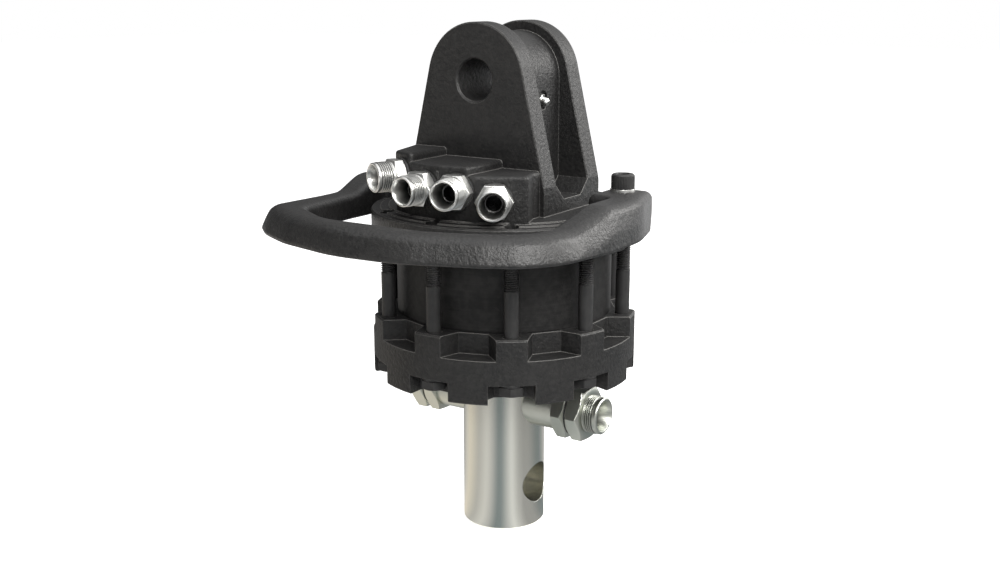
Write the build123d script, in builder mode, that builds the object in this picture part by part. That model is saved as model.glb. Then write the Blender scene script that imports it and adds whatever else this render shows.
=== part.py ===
from build123d import *
import os
from math import acos, asin, cos, degrees, radians, sin, sqrt, tan

# Hydraulic grapple rotator. All sizes are in millimetres.
# The origin is the centre of the link pin bore. +Z is up and the rotor turns about Z.
# The four hose ports and the hose guard are at the front, towards -Y.

# Link pin bore, ears and the web between them
pin_d = 28.0
pin_chamfer = 1.2
ear_gap = 42.8
ear_t = 16.0
ear_top_r = 38.5
ear_edge_chamfer = 0.8
web_r = 31.6
base_half_w = 55.7
base_top_lift = 44.0
recess_depth = 10.0

# Bolt flange of the upper housing
flange_drop = 113.0
flange_r = 94.5
flange_t = 23.0
flange_chamfer = 1.0
step_1_r = 88.0
step_2_r = 82.0
step_h = 1.0

# Port block and hose ports at the front, listed from left to right
port_count = 4
port_pitch_deg = 18.0
port_centre_deg = 1.7
port_lift = (50.5, 45.0, 45.0, 39.5)
port_top_margin = 16.0
port_block_r = 81.0
port_block_left_deg = 32.0
port_block_right_deg = 43.5
port_step_x = (-23.5, 22.5)
port_neck_half_w = 52.0
port_block_overlap = 1.0
port_neck_len = 8.0
port_edge_r = 2.4
port_hole_d = 18.6
port_hole_len = 14.0
port_drill_d = 9.0
motor_drill_d = 5.0
motor_drill_r = 53.0

# Port fittings and the seals under them
fitting_hex_af = 22.0
fitting_hex_t = 8.0
fitting_thread_d = 20.6
fitting_thread_len = 12.5
fitting_spigot_len = 12.0
fitting_bore_d = 11.0
fitting_mouth_d = 17.2
fitting_mouth_len = 15.0
fitting_lip = 0.9
port_seal_d = 24.0
port_seal_t = 1.5

# Hexagons: share of the face left flat, and the slope of the corner bevel
hex_face_share = 0.97
hex_bevel_deg = 30.0

# Stator ring with its cam
stator_r = 77.0
stator_h = 50.5
cam_base_r = 50.0
cam_lobes = 5
cam_lobe_r = 24.0
cam_rise = 6.0
cam_blend_r = 14.0

# Bottom cover
cover_r = 94.7
cover_h = 45.0
cover_chamfer = 1.0
merlon_h = 14.5
merlon_half_deg = 6.3
merlon_root_half_deg = 10.5
crenel_r = 79.8
notch_depth = 13.7
notch_half_w = 15.8
notch_inner_half_w = 11.0
notch_inner_r = 76.0
notch_corner_r = 81.0

# Through bolts
bolt_count = 10
bolt_circle_r = 86.5
bolt_d = 10.0
bolt_clearance = 0.5
bolt_head_af = 16.0
bolt_head_t = 6.4
bolt_washer_d = 16.4
bolt_washer_t = 1.5
bolt_end_drop = 3.0

# Shaft, hub and journal
shaft_d = 60.0
shaft_below_cover = 119.5
shaft_end_chamfer = 2.5
cross_bore_d = 30.0
cross_bore_up = 33.6
hub_r = 49.5
hub_end_play = 0.1
journal_d = 44.0
journal_len = 60.0
journal_top_gap = 2.0
running_clearance = 0.05

# Bushes and thrust washers
bush_t = 4.0
upper_bush_len = 16.0
lower_bush_len = 22.0
thrust_t = 3.0
thrust_outer_r = 46.0
thrust_inner_gap = 1.5

# Vanes and their bow springs
vane_count = 8
vane_t = 6.0
vane_len = 17.0
vane_tip_gap = 0.3
vane_clearance = 0.05
vane_slot_root_r = 29.0
vane_spring_w = 4.0
vane_spring_t = 0.8
vane_spring_margin = 3.0

# Rotary swivel: two oil grooves between three seal rings
swivel_pitch = 5.5
oil_groove_w = 3.4
oil_groove_depth = 2.5
swivel_seal_w = 4.0
swivel_seal_depth = 3.5
gallery_d = 8.0
gallery_x = 11.0
gallery_cross_d = 3.2
gallery_plug_len = 9.0

# Seal rings of the stator, its locating pins, the shaft seal and the wiper
oring_d = 3.0
oring_r = 63.0
oring_groove_spare = 1.0
pin_fixing_d = 6.0
pin_fixing_len = 16.0
pin_fixing_r = 71.0
pin_fixing_deg = (72.0, 252.0)
seal_pocket_w = 10.0
shaft_seal_t = 10.0
shaft_seal_lip_t = 3.0
shaft_seal_case_w = 4.0
wiper_t = 6.0
wiper_retain = 1.5
wiper_lip_w = 2.0

# Hose guard: a loop open to the rear, with a lug at each end
guard_screw_x = 90.2
guard_screw_y = 8.0
guard_seat_lift = 12.0
guard_bar_h = 18.0
guard_lug_h = 28.0
guard_slope_y = {"right": (-88.0, -54.0), "left": (-49.0, -24.0)}
guard_slope_r = 30.0
guard_foot_r = 2.0
guard_edge_r = 5.5

# Its outer line at the foot, seen from above: x, y and the radius of each bend, from the left arm to the right arm
guard_bends = ((-119.0, -20.0, 80.0), (-119.0, -60.0, 80.0), (-121.5, -118.0, 16.0), (-103.0, -134.0, 60.0),
               (-72.5, -149.3, 60.0), (-25.0, -162.6, 100.0), (25.0, -159.3, 100.0), (74.5, -140.8, 60.0),
               (96.0, -129.0, 40.0), (112.6, -107.5, 60.0), (119.0, -60.0, 80.0), (119.0, -20.0, 80.0))

# Its inner line, half of it, and its lugs
guard_inner_front_y = -135.0
guard_inner_front_half_w = 48.0
guard_inner_front_r = 45.0
guard_inner_x = 93.0
guard_inner_arm_y = (-60.0, -20.0)
guard_inner_arm_r = 80.0
guard_inner_corner_in = 5.0
guard_inner_corner_back = 23.0
guard_inner_corner_r = 16.0
guard_lug_outer_x = 106.0
guard_lug_inner_x = 76.0
guard_lug_rear_y = 23.0
guard_lug_rear_lean = 9.0
guard_lug_front_y = -16.0
guard_lug_bevel = (14.0, 7.0)
guard_lug_r = 5.0

# Its seats, bosses, screws and washers
guard_fit_gap = 0.3
guard_boss_r = 13.0
guard_boss_foot_r = 7.0
guard_boss_lift = 4.0
guard_screw_d = 10.0
guard_screw_clearance = 0.5
guard_head_d = 16.0
guard_head_t = 10.0
guard_socket_af = 8.0
guard_socket_depth = 5.0
guard_washer_d = 17.2
guard_washer_t = 1.6

# Grease nipple in the flank of the web
nipple_deg = 24.7
nipple_recess_d = 12.0
nipple_recess_depth = 4.0
nipple_thread_d = 6.0
nipple_thread_len = 6.0
nipple_hex_af = 7.0
nipple_hex_t = 3.0
nipple_neck_d = 4.2
nipple_head_d = 6.0
nipple_len = 8.5
nipple_neck_len = 1.0
nipple_head_rise = 1.0
nipple_tip_len = 1.5
grease_drill_d = 2.5

# Fittings on the shaft, with their middle this far below the cover
lower_port_drop = 24.5
lower_stub_end = 50.0
lower_stub_d = 32.0
lower_spigot_d = 26.0
lower_spigot_len = 12.0
lower_hex_af = 36.0
lower_extension_hex_t = 10.5
lower_seal_d = 35.0
lower_seal_t = 1.5
lower_fitting_hex_t = 11.0
lower_thread_d = 27.0
lower_thread_len = 11.0
lower_bore_d = 13.0
lower_mouth_d = 22.0
lower_mouth_len = 12.0

# Heights that follow from the sizes above
ear_half = ear_gap / 2 + ear_t
flange_face_z = -flange_drop
flange_top_z = flange_face_z + flange_t
block_floor_z = flange_top_z + 2 * step_h
base_top_z = flange_face_z + base_top_lift
recess_z = base_top_z - recess_depth
cover_top_z = flange_face_z - stator_h
cover_bottom_z = cover_top_z - cover_h
notch_z = cover_bottom_z + notch_depth
shaft_end_z = cover_bottom_z - shaft_below_cover
cross_bore_z = shaft_end_z + cross_bore_up
hub_top_z = flange_face_z - hub_end_play
hub_mid_z = (hub_top_z + cover_top_z) / 2
hub_h = hub_top_z - cover_top_z
lower_port_z = cover_bottom_z - lower_port_drop
guard_seat_z = flange_face_z + guard_seat_lift

# Radii, places and lists that follow from the sizes above
shaft_r = shaft_d / 2
journal_r = journal_d / 2
cam_max_r = cam_base_r + cam_rise
vane_tip_r = cam_base_r - vane_tip_gap
vane_base_r = vane_tip_r - vane_len
upper_bush_r = journal_r + running_clearance + bush_t
lower_bush_r = shaft_r + running_clearance + bush_t
seal_pocket_r = shaft_r + seal_pocket_w
seal_pocket_h = wiper_t + wiper_retain + shaft_seal_t
lower_spigot_r = shaft_r - lower_spigot_len
port_deg = [port_centre_deg + (i - (port_count - 1) / 2) * port_pitch_deg for i in range(port_count)]
port_z = [flange_face_z + lift for lift in port_lift]
swivel_mid_z = (port_z[0] + port_z[-1]) / 2
swivel_seal_z = [swivel_mid_z + i * 2 * swivel_pitch for i in (1, 0, -1)]
oil_groove_z = [swivel_mid_z + i * swivel_pitch for i in (1, -1)]
guard_screw_places = [(guard_screw_x, guard_screw_y), (-guard_screw_x, guard_screw_y)]
shaft_sides = {"right": 90.0, "left": -90.0}
joint_plane = Plane.XY.offset(flange_face_z)
made = []


def keep(part, name):
    """Label one finished piece and remember it for export."""
    part.label = name
    made.append(part)


def polar(radius, angle_deg):
    """Plan point at a radius and an angle from the front (-Y) towards +X."""
    return (radius * sin(radians(angle_deg)), -radius * cos(radians(angle_deg)))


def radial_plane(radius, angle_deg, z):
    """Plane square to a line that leaves the rotor axis, its normal pointing outwards and its Y up."""
    x, y = polar(1, angle_deg)
    return Plane(origin=(radius * x, radius * y, z), x_dir=(-y, x, 0), z_dir=(x, y, 0))


def turned(plane, profile, mode=Mode.ADD):
    """Revolve a closed (radius, height) profile about the normal of a plane, in the open part."""
    with BuildSketch(Plane(origin=plane.origin, x_dir=plane.x_dir, z_dir=-plane.y_dir)) as section:
        with BuildLine():
            Polyline(*profile, close=True)
        make_face()
    revolve(section.sketch, axis=Axis(plane.origin, plane.z_dir), mode=mode)


def hexagon(plane, across_flats, low, high, turn_deg=0.0):
    """A hexagon from one height to another above a plane, with its corners bevelled at both ends."""
    with BuildSketch(plane.offset(low)) as outline:
        RegularPolygon(radius=across_flats / 2, side_count=6, major_radius=False, rotation=turn_deg)
    extrude(outline.sketch, amount=high - low)
    corner_r = across_flats / sqrt(3)
    flat_r = across_flats / 2 * hex_face_share
    past_r = 2 * corner_r - flat_r
    drop = (past_r - flat_r) * tan(radians(hex_bevel_deg))
    turned(plane, [(flat_r, high), (past_r, high), (past_r, high - drop)], Mode.SUBTRACT)
    turned(plane, [(flat_r, low), (past_r, low), (past_r, low + drop)], Mode.SUBTRACT)


def ring(name, z, inner_r, outer_r, height):
    """A plain turned ring about the rotor axis, standing on height z."""
    with BuildPart() as part:
        turned(Plane.XY.offset(z), [(inner_r, 0), (outer_r, 0), (outer_r, height), (inner_r, height)])
    keep(part.part, name)


def bolt_places():
    """The bolt circle, with its first bolt at the front."""
    return PolarLocations(bolt_circle_r, bolt_count, start_angle=-90)


# Link ears: slanted sides tangent to a round top about the pin bore
ear_foot_r = sqrt(base_half_w**2 + base_top_z**2)
tangent_deg = degrees(acos(ear_top_r / ear_foot_r) - asin(-base_top_z / ear_foot_r))
tangent_x = ear_top_r * cos(radians(tangent_deg))
tangent_z = ear_top_r * sin(radians(tangent_deg))

with BuildPart() as link_ears:
    with BuildSketch(Plane.XZ.offset(ear_gap / 2)):
        with BuildLine():
            Polyline((-tangent_x, tangent_z), (-base_half_w, base_top_z), (-base_half_w, flange_top_z),
                     (base_half_w, flange_top_z), (base_half_w, base_top_z), (tangent_x, tangent_z))
            ThreePointArc((tangent_x, tangent_z), (0, ear_top_r), (-tangent_x, tangent_z))
        make_face()
    extrude(amount=ear_t)
    mirror(about=Plane.XZ)
    rims = link_ears.edges().filter_by_position(Axis.Z, base_top_z, ear_top_r, inclusive=(False, True))
    chamfer(rims.filter_by(Axis.Y, reverse=True), length=ear_edge_chamfer)

# Port block: each facet is square to its port, and its top steps down from left to right
block_left = polar(port_block_r / cos(radians(port_block_left_deg + port_deg[0])), -port_block_left_deg)
block_right = polar(port_block_r / cos(radians(port_block_right_deg - port_deg[-1])), port_block_right_deg)
block_corner_r = port_block_r / cos(radians(port_pitch_deg / 2))
block_corners = [polar(block_corner_r, angle + port_pitch_deg / 2) for angle in port_deg[:-1]]
block_back_y = -ear_half + port_block_overlap
block_cut = 6 * flange_r
block_levels = ((block_cut / 2, port_z[3]), (port_step_x[1], port_z[1]), (port_step_x[0], port_z[0]))

block_parts = []
for right_limit, level_port_z in block_levels:
    with BuildPart() as block_level:
        with BuildSketch(Plane.XY.offset(flange_top_z)) as level_plan:
            with BuildLine():
                Polyline((-port_neck_half_w, block_back_y), block_left, *block_corners, block_right,
                         (port_neck_half_w, -ear_half - port_neck_len), (port_neck_half_w, block_back_y), close=True)
            make_face()
            with Locations((right_limit, 0)):
                Rectangle(block_cut, block_cut, align=(Align.MIN, Align.CENTER), mode=Mode.SUBTRACT)
            fillet(level_plan.vertices().group_by(Axis.Y)[:-1], radius=port_edge_r)
        extrude(amount=level_port_z + port_top_margin - flange_top_z)
        rim = block_level.edges().group_by(Axis.Z)[-1]
        fillet(rim.filter_by(lambda e: e.center().Y < block_back_y - 0.01), radius=port_edge_r)
    block_parts.append(block_level.part)

# Hose guard seen from above: its outer line closed far behind the lugs, less the space inside and behind it
guard_far_y = 3 * guard_lug_rear_y
guard_wide = 3 * guard_lug_outer_x
guard_inner_line = [(guard_lug_inner_x, guard_lug_front_y / 2), (guard_lug_inner_x, guard_lug_front_y),
                    (guard_inner_x, guard_inner_arm_y[1]), (guard_inner_x, guard_inner_arm_y[0]),
                    (guard_inner_x - guard_inner_corner_in, guard_inner_front_y + guard_inner_corner_back),
                    (guard_inner_front_half_w, guard_inner_front_y), (0, guard_inner_front_y)]
with BuildSketch() as guard_outline:
    with BuildLine():
        FilletPolyline((-guard_lug_outer_x, guard_lug_rear_y), *[bend[:2] for bend in guard_bends],
                       (guard_lug_outer_x, guard_lug_rear_y), radius=[bend[2] for bend in guard_bends])
        Polyline((guard_lug_outer_x, guard_lug_rear_y), (guard_lug_outer_x, guard_far_y),
                 (-guard_lug_outer_x, guard_far_y), (-guard_lug_outer_x, guard_lug_rear_y))
    make_face()
with BuildSketch() as guard_hollow:
    with BuildLine():
        Polyline((0, guard_far_y), (guard_lug_inner_x + guard_lug_bevel[0], guard_far_y),
                 (guard_lug_inner_x + guard_lug_bevel[0], guard_lug_rear_y),
                 (guard_lug_inner_x, guard_lug_rear_y - guard_lug_bevel[1]), (guard_lug_inner_x, guard_lug_front_y / 2))
        FilletPolyline(*guard_inner_line, radius=[guard_lug_r, guard_lug_r, guard_inner_arm_r, guard_inner_corner_r,
                                                  guard_inner_front_r])
        mirror(about=Plane.YZ)
    make_face()
with BuildSketch() as guard_plan:
    add(guard_outline.sketch)
    add(guard_hollow.sketch, mode=Mode.SUBTRACT)
    with Locations((0, guard_lug_rear_y)):
        Rectangle(guard_wide, guard_far_y, align=(Align.CENTER, Align.MIN), mode=Mode.SUBTRACT)

# Upper housing: the flange with everything that is cast on it, then its machined bores
with BuildPart() as upper_housing:
    with BuildSketch(joint_plane):
        Circle(flange_r)
    extrude(amount=flange_t)
    chamfer(upper_housing.edges().filter_by(GeomType.CIRCLE), length=flange_chamfer)
    for level, radius in enumerate((step_1_r, step_2_r)):
        with BuildSketch(Plane.XY.offset(flange_top_z + level * step_h)):
            Circle(radius)
        extrude(amount=step_h)
    for x, y in guard_screw_places:
        boss_h = guard_seat_z - flange_face_z
        turned(Plane((x, y, flange_face_z)), [(0, guard_boss_lift), (guard_boss_foot_r, guard_boss_lift),
                                              (guard_boss_r, boss_h), (0, boss_h)])
    add(block_parts)
    add(link_ears.part)
    # Base block between the ears with its recess, and the web that fills the middle
    with BuildSketch(Plane.YZ.offset(-base_half_w)):
        with BuildLine():
            Polyline((-ear_half + 1, flange_top_z), (-ear_half + 1, base_top_z), (-ear_gap / 2, base_top_z),
                     (-ear_gap / 2 + recess_depth, recess_z), (ear_gap / 2 - recess_depth, recess_z),
                     (ear_gap / 2, base_top_z), (ear_half - 1, base_top_z), (ear_half - 1, flange_top_z), close=True)
        make_face()
    extrude(amount=2 * base_half_w)
    with BuildSketch(Plane.XZ.offset(-ear_gap / 2)):
        Circle(web_r)
        with Locations((0, recess_z)):
            Rectangle(2 * web_r, -recess_z, align=(Align.CENTER, Align.MIN))
    extrude(amount=ear_gap)
    # Seats of the guard's lugs
    with BuildSketch(Plane.XY.offset(guard_seat_z)):
        add(guard_plan.sketch)
        offset(amount=guard_fit_gap)
    extrude(amount=guard_lug_h, mode=Mode.SUBTRACT)
    # Link pin bore with its two bevelled mouths
    with BuildSketch(Plane.XZ.offset(ear_half)):
        Circle(pin_d / 2)
    extrude(amount=-2 * ear_half, mode=Mode.SUBTRACT)
    mouths = upper_housing.edges().filter_by(GeomType.CIRCLE).filter_by(lambda e: abs(e.radius - pin_d / 2) < 0.01)
    chamfer(mouths.filter_by(lambda e: abs(abs(e.center().Y) - ear_half) < 0.01), length=pin_chamfer)
    # Holes of the through bolts, of the guard's screws and of the locating pins
    with BuildSketch(joint_plane):
        with bolt_places():
            Circle(bolt_d / 2)
        with Locations(*guard_screw_places):
            Circle(guard_screw_d / 2)
    extrude(amount=flange_t + 2 * step_h, mode=Mode.SUBTRACT)
    with BuildSketch(joint_plane):
        with Locations(*[polar(pin_fixing_r, angle) for angle in pin_fixing_deg]):
            Circle(pin_fixing_d / 2)
    extrude(amount=pin_fixing_len / 2, mode=Mode.SUBTRACT)
    # Swivel bore, bush seat, thrust washer seat and seal groove, all from the joint face
    swivel_r = journal_r + running_clearance
    turned(joint_plane, [(0, 0), (thrust_outer_r, 0), (thrust_outer_r, thrust_t), (upper_bush_r, thrust_t),
                         (upper_bush_r, thrust_t + upper_bush_len), (swivel_r, thrust_t + upper_bush_len),
                         (swivel_r, journal_len + journal_top_gap), (0, journal_len + journal_top_gap)], Mode.SUBTRACT)
    groove_half = (oring_d + oring_groove_spare) / 2
    turned(joint_plane, [(oring_r - groove_half, 0), (oring_r + groove_half, 0), (oring_r + groove_half, oring_d),
                         (oring_r - groove_half, oring_d)], Mode.SUBTRACT)
    # Ports: a threaded hole each, then a drilling to the swivel (outer two) or down to the cam (inner two)
    for angle, height in zip(port_deg, port_z):
        facet = radial_plane(port_block_r, angle, height)
        with BuildSketch(facet):
            Circle(port_hole_d / 2)
        extrude(amount=-port_hole_len, mode=Mode.SUBTRACT)
        inner_r = motor_drill_r if height == port_z[1] else swivel_r
        with BuildSketch(facet):
            Circle(port_drill_d / 2)
        extrude(amount=inner_r - port_block_r - port_edge_r, mode=Mode.SUBTRACT)
        if height == port_z[1]:
            with BuildSketch(joint_plane):
                with Locations(polar(motor_drill_r, angle)):
                    Circle(motor_drill_d / 2)
            extrude(amount=height - flange_face_z, mode=Mode.SUBTRACT)
    # Recess, thread and drilling of the grease nipple
    nipple_plane = Plane(origin=(web_r, 0, -web_r * tan(radians(nipple_deg))), x_dir=(0, 1, 0),
                         z_dir=(cos(radians(nipple_deg)), 0, -sin(radians(nipple_deg))))
    nipple_seat = nipple_plane.offset(-nipple_recess_depth)
    with BuildSketch(nipple_seat):
        Circle(nipple_recess_d / 2)
    extrude(amount=2 * nipple_recess_depth, mode=Mode.SUBTRACT)
    with BuildSketch(nipple_seat):
        Circle(nipple_thread_d / 2)
    extrude(amount=-nipple_thread_len, mode=Mode.SUBTRACT)
    with BuildSketch(nipple_seat):
        Circle(grease_drill_d / 2)
    extrude(amount=-web_r + pin_d / 4, mode=Mode.SUBTRACT)
keep(upper_housing.part, "upper_housing")

with BuildPart() as grease_nipple:
    with BuildSketch(nipple_seat.offset(-nipple_thread_len)):
        Circle(nipple_thread_d / 2)
    extrude(amount=nipple_thread_len)
    hexagon(nipple_seat, nipple_hex_af, 0, nipple_hex_t)
    neck_r = nipple_neck_d / 2
    head_r = nipple_head_d / 2
    turned(nipple_seat, [(0, nipple_hex_t), (neck_r, nipple_hex_t), (neck_r, nipple_hex_t + nipple_neck_len),
                         (head_r, nipple_hex_t + nipple_neck_len + nipple_head_rise),
                         (head_r, nipple_len - nipple_tip_len), (neck_r, nipple_len), (0, nipple_len)])
keep(grease_nipple.part, "grease_nipple")

# Port fittings and their seals
for number, (angle, height) in enumerate(zip(port_deg, port_z), start=1):
    facet = radial_plane(port_block_r, angle, height)
    spigot_r = port_hole_d / 2
    thread_r = fitting_thread_d / 2
    bore_r = fitting_bore_d / 2
    mouth_r = fitting_mouth_d / 2
    hex_top = port_seal_t + fitting_hex_t
    tip = hex_top + fitting_thread_len
    with BuildPart() as port_fitting:
        hexagon(facet, fitting_hex_af, port_seal_t, hex_top)
        turned(facet, [(0, -fitting_spigot_len), (spigot_r, -fitting_spigot_len), (spigot_r, hex_top),
                       (thread_r - fitting_lip, hex_top), (thread_r, hex_top + fitting_lip),
                       (thread_r, tip - fitting_lip), (thread_r - fitting_lip, tip), (0, tip)])
        turned(facet, [(0, -fitting_spigot_len), (bore_r, -fitting_spigot_len), (bore_r, tip - fitting_mouth_len),
                       (mouth_r - fitting_lip, tip - fitting_lip * 3), (mouth_r, tip), (0, tip)], Mode.SUBTRACT)
    keep(port_fitting.part, f"port_fitting_{number}")
    with BuildPart() as port_seal:
        with BuildSketch(facet):
            Circle(port_seal_d / 2)
            Circle(spigot_r, mode=Mode.SUBTRACT)
        extrude(amount=port_seal_t)
    keep(port_seal.part, f"port_seal_{number}")

# Stator ring: a round drum, with the cam as a base circle with blended lobes
lobe_centre_r = cam_max_r - cam_lobe_r
with BuildPart() as stator_ring:
    with BuildSketch(Plane.XY.offset(cover_top_z)):
        Circle(stator_r)
    extrude(amount=stator_h)
    with BuildSketch(Plane.XY.offset(cover_top_z)) as cam:
        Circle(cam_base_r)
        with PolarLocations(lobe_centre_r, cam_lobes, start_angle=port_centre_deg - 90):
            Circle(cam_lobe_r)
        fillet(cam.vertices(), radius=cam_blend_r)
    extrude(amount=stator_h, mode=Mode.SUBTRACT)
    with BuildSketch(Plane.XY.offset(cover_top_z)):
        with Locations(*[polar(pin_fixing_r, angle) for angle in pin_fixing_deg]):
            Circle(pin_fixing_d / 2)
    extrude(amount=stator_h, mode=Mode.SUBTRACT)
keep(stator_ring.part, "stator_ring")

# Bottom cover: pockets between the bolts from above, notches at the bolts from below
crenel_deg = 180.0 / bolt_count
crenel_root = (crenel_r * cos(radians(crenel_deg - merlon_root_half_deg)),
               crenel_r * sin(radians(crenel_deg - merlon_root_half_deg)))
crenel_mouth = (cover_r * cos(radians(crenel_deg - merlon_half_deg)),
                cover_r * sin(radians(crenel_deg - merlon_half_deg)))
crenel_end = (crenel_mouth[0] * 2 - crenel_root[0], crenel_mouth[1] * 2 - crenel_root[1])
crenel_plan = [(crenel_root[0], -crenel_root[1]), (crenel_end[0], -crenel_end[1]), crenel_end, crenel_root]
notch_plan = [(notch_inner_r, -notch_inner_half_w), (notch_corner_r, -notch_half_w), (2 * cover_r, -notch_half_w),
              (2 * cover_r, notch_half_w), (notch_corner_r, notch_half_w), (notch_inner_r, notch_inner_half_w)]
with BuildPart() as bottom_cover:
    with BuildSketch(Plane.XY.offset(cover_bottom_z)):
        Circle(cover_r)
    extrude(amount=cover_h)
    chamfer(bottom_cover.edges().filter_by(GeomType.CIRCLE), length=cover_chamfer)
    with BuildSketch(Plane.XY.offset(cover_top_z)):
        with PolarLocations(0, bolt_count, start_angle=crenel_deg - 90):
            Polygon(*crenel_plan, align=None)
    extrude(amount=-merlon_h, mode=Mode.SUBTRACT)
    with BuildSketch(Plane.XY.offset(cover_bottom_z)):
        with PolarLocations(0, bolt_count, start_angle=-90):
            Polygon(*notch_plan, align=None)
    extrude(amount=notch_depth, mode=Mode.SUBTRACT)
    with BuildSketch(Plane.XY.offset(cover_bottom_z)):
        with bolt_places():
            Circle(bolt_d / 2 + bolt_clearance)
    extrude(amount=cover_h, mode=Mode.SUBTRACT)
    with BuildSketch(Plane.XY.offset(cover_top_z)):
        with Locations(*[polar(pin_fixing_r, angle) for angle in pin_fixing_deg]):
            Circle(pin_fixing_d / 2)
    extrude(amount=-pin_fixing_len / 2, mode=Mode.SUBTRACT)
    # Thrust washer seat, bush seat, through bore and the pocket of the shaft seals, then the seal groove
    bush_end = thrust_t + lower_bush_len
    turned(Plane.XY.offset(cover_top_z), [
        (0, 0), (thrust_outer_r, 0), (thrust_outer_r, -thrust_t), (lower_bush_r, -thrust_t),
        (lower_bush_r, -bush_end), (shaft_r + thrust_inner_gap, -bush_end),
        (shaft_r + thrust_inner_gap, seal_pocket_h - cover_h), (seal_pocket_r, seal_pocket_h - cover_h),
        (seal_pocket_r, -cover_h), (0, -cover_h)], Mode.SUBTRACT)
    turned(Plane.XY.offset(cover_top_z), [
        (oring_r - groove_half, 0), (oring_r + groove_half, 0), (oring_r + groove_half, -oring_d),
        (oring_r - groove_half, -oring_d)], Mode.SUBTRACT)
keep(bottom_cover.part, "bottom_cover")

# Hose guard: a loop whose top steps up to the lugs, whose rear faces lean, with soft edges
bar_top_z = guard_seat_z + guard_bar_h
lug_top_z = guard_seat_z + guard_lug_h
guard_clear_z = lug_top_z + guard_lug_h
with BuildPart() as hose_guard:
    with BuildSketch(Plane.XY.offset(guard_seat_z)):
        add(guard_outline.sketch)
    extrude(amount=guard_lug_h)
    with BuildSketch(Plane.XY.offset(guard_seat_z)):
        add(guard_hollow.sketch)
    extrude(amount=guard_lug_h, mode=Mode.SUBTRACT)
    with BuildSketch(Plane.YZ):
        with BuildLine():
            Polyline((guard_lug_rear_y - guard_lug_rear_lean, guard_seat_z), (guard_lug_rear_y, lug_top_z),
                     (guard_far_y, lug_top_z), (guard_far_y, guard_seat_z), close=True)
        make_face()
    extrude(amount=guard_wide, both=True, mode=Mode.SUBTRACT)
    for side, (slope_foot_y, slope_head_y) in guard_slope_y.items():
        with BuildSketch(Plane.YZ):
            with BuildLine():
                FilletPolyline((2 * guard_inner_front_y, bar_top_z), (slope_foot_y, bar_top_z),
                               (slope_head_y, lug_top_z), (2 * guard_far_y, lug_top_z), radius=guard_slope_r)
                Polyline((2 * guard_far_y, lug_top_z), (2 * guard_far_y, guard_clear_z),
                         (2 * guard_inner_front_y, guard_clear_z), (2 * guard_inner_front_y, bar_top_z))
            make_face()
        extrude(amount=guard_wide if side == "right" else -guard_wide, mode=Mode.SUBTRACT)
    level = hose_guard.faces().filter_by(Plane.XY)
    fillet(level.sort_by(Axis.Z)[0].edges(), radius=guard_foot_r)
    level = hose_guard.faces().filter_by(Plane.XY).filter_by(lambda face: face.center().Z > guard_seat_z + 1)
    fillet(level.edges(), radius=guard_edge_r)
    with BuildSketch(Plane.XY.offset(guard_seat_z)):
        with Locations(*guard_screw_places):
            Circle(guard_screw_d / 2 + guard_screw_clearance)
    extrude(amount=guard_lug_h, mode=Mode.SUBTRACT)
keep(hose_guard.part, "hose_guard")

# Through bolts with hexagon heads in the notches, and their washers
with BuildPart() as through_bolts:
    for spot in bolt_places().locations:
        seat = Plane(spot).offset(notch_z - bolt_washer_t)
        hexagon(seat, bolt_head_af, -bolt_head_t, 0)
        with BuildSketch(seat):
            Circle(bolt_d / 2)
        extrude(amount=flange_top_z - bolt_end_drop - notch_z + bolt_washer_t)
keep(through_bolts.part, "through_bolts")

with BuildPart() as bolt_washers:
    with BuildSketch(Plane.XY.offset(notch_z)):
        with bolt_places():
            Circle(bolt_washer_d / 2)
            Circle(bolt_d / 2, mode=Mode.SUBTRACT)
    extrude(amount=-bolt_washer_t)
keep(bolt_washers.part, "bolt_washers")

# Socket head screws of the guard, and their washers
head_z = lug_top_z + guard_washer_t
with BuildPart() as guard_screws:
    with BuildSketch(Plane.XY.offset(head_z)):
        with Locations(*guard_screw_places):
            Circle(guard_head_d / 2)
    extrude(amount=guard_head_t)
    chamfer(guard_screws.edges().group_by(Axis.Z)[-1], length=cover_chamfer)
    with BuildSketch(Plane.XY.offset(head_z + guard_head_t)):
        with Locations(*guard_screw_places):
            RegularPolygon(radius=guard_socket_af / 2, side_count=6, major_radius=False)
    extrude(amount=-guard_socket_depth, mode=Mode.SUBTRACT)
    with BuildSketch(Plane.XY.offset(head_z)):
        with Locations(*guard_screw_places):
            Circle(guard_screw_d / 2)
    extrude(amount=flange_face_z + guard_boss_lift - head_z)
keep(guard_screws.part, "guard_screws")

with BuildPart() as guard_washers:
    with BuildSketch(Plane.XY.offset(lug_top_z)):
        with Locations(*guard_screw_places):
            Circle(guard_washer_d / 2)
            Circle(guard_screw_d / 2, mode=Mode.SUBTRACT)
    extrude(amount=guard_washer_t)
keep(guard_washers.part, "guard_washers")

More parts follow.
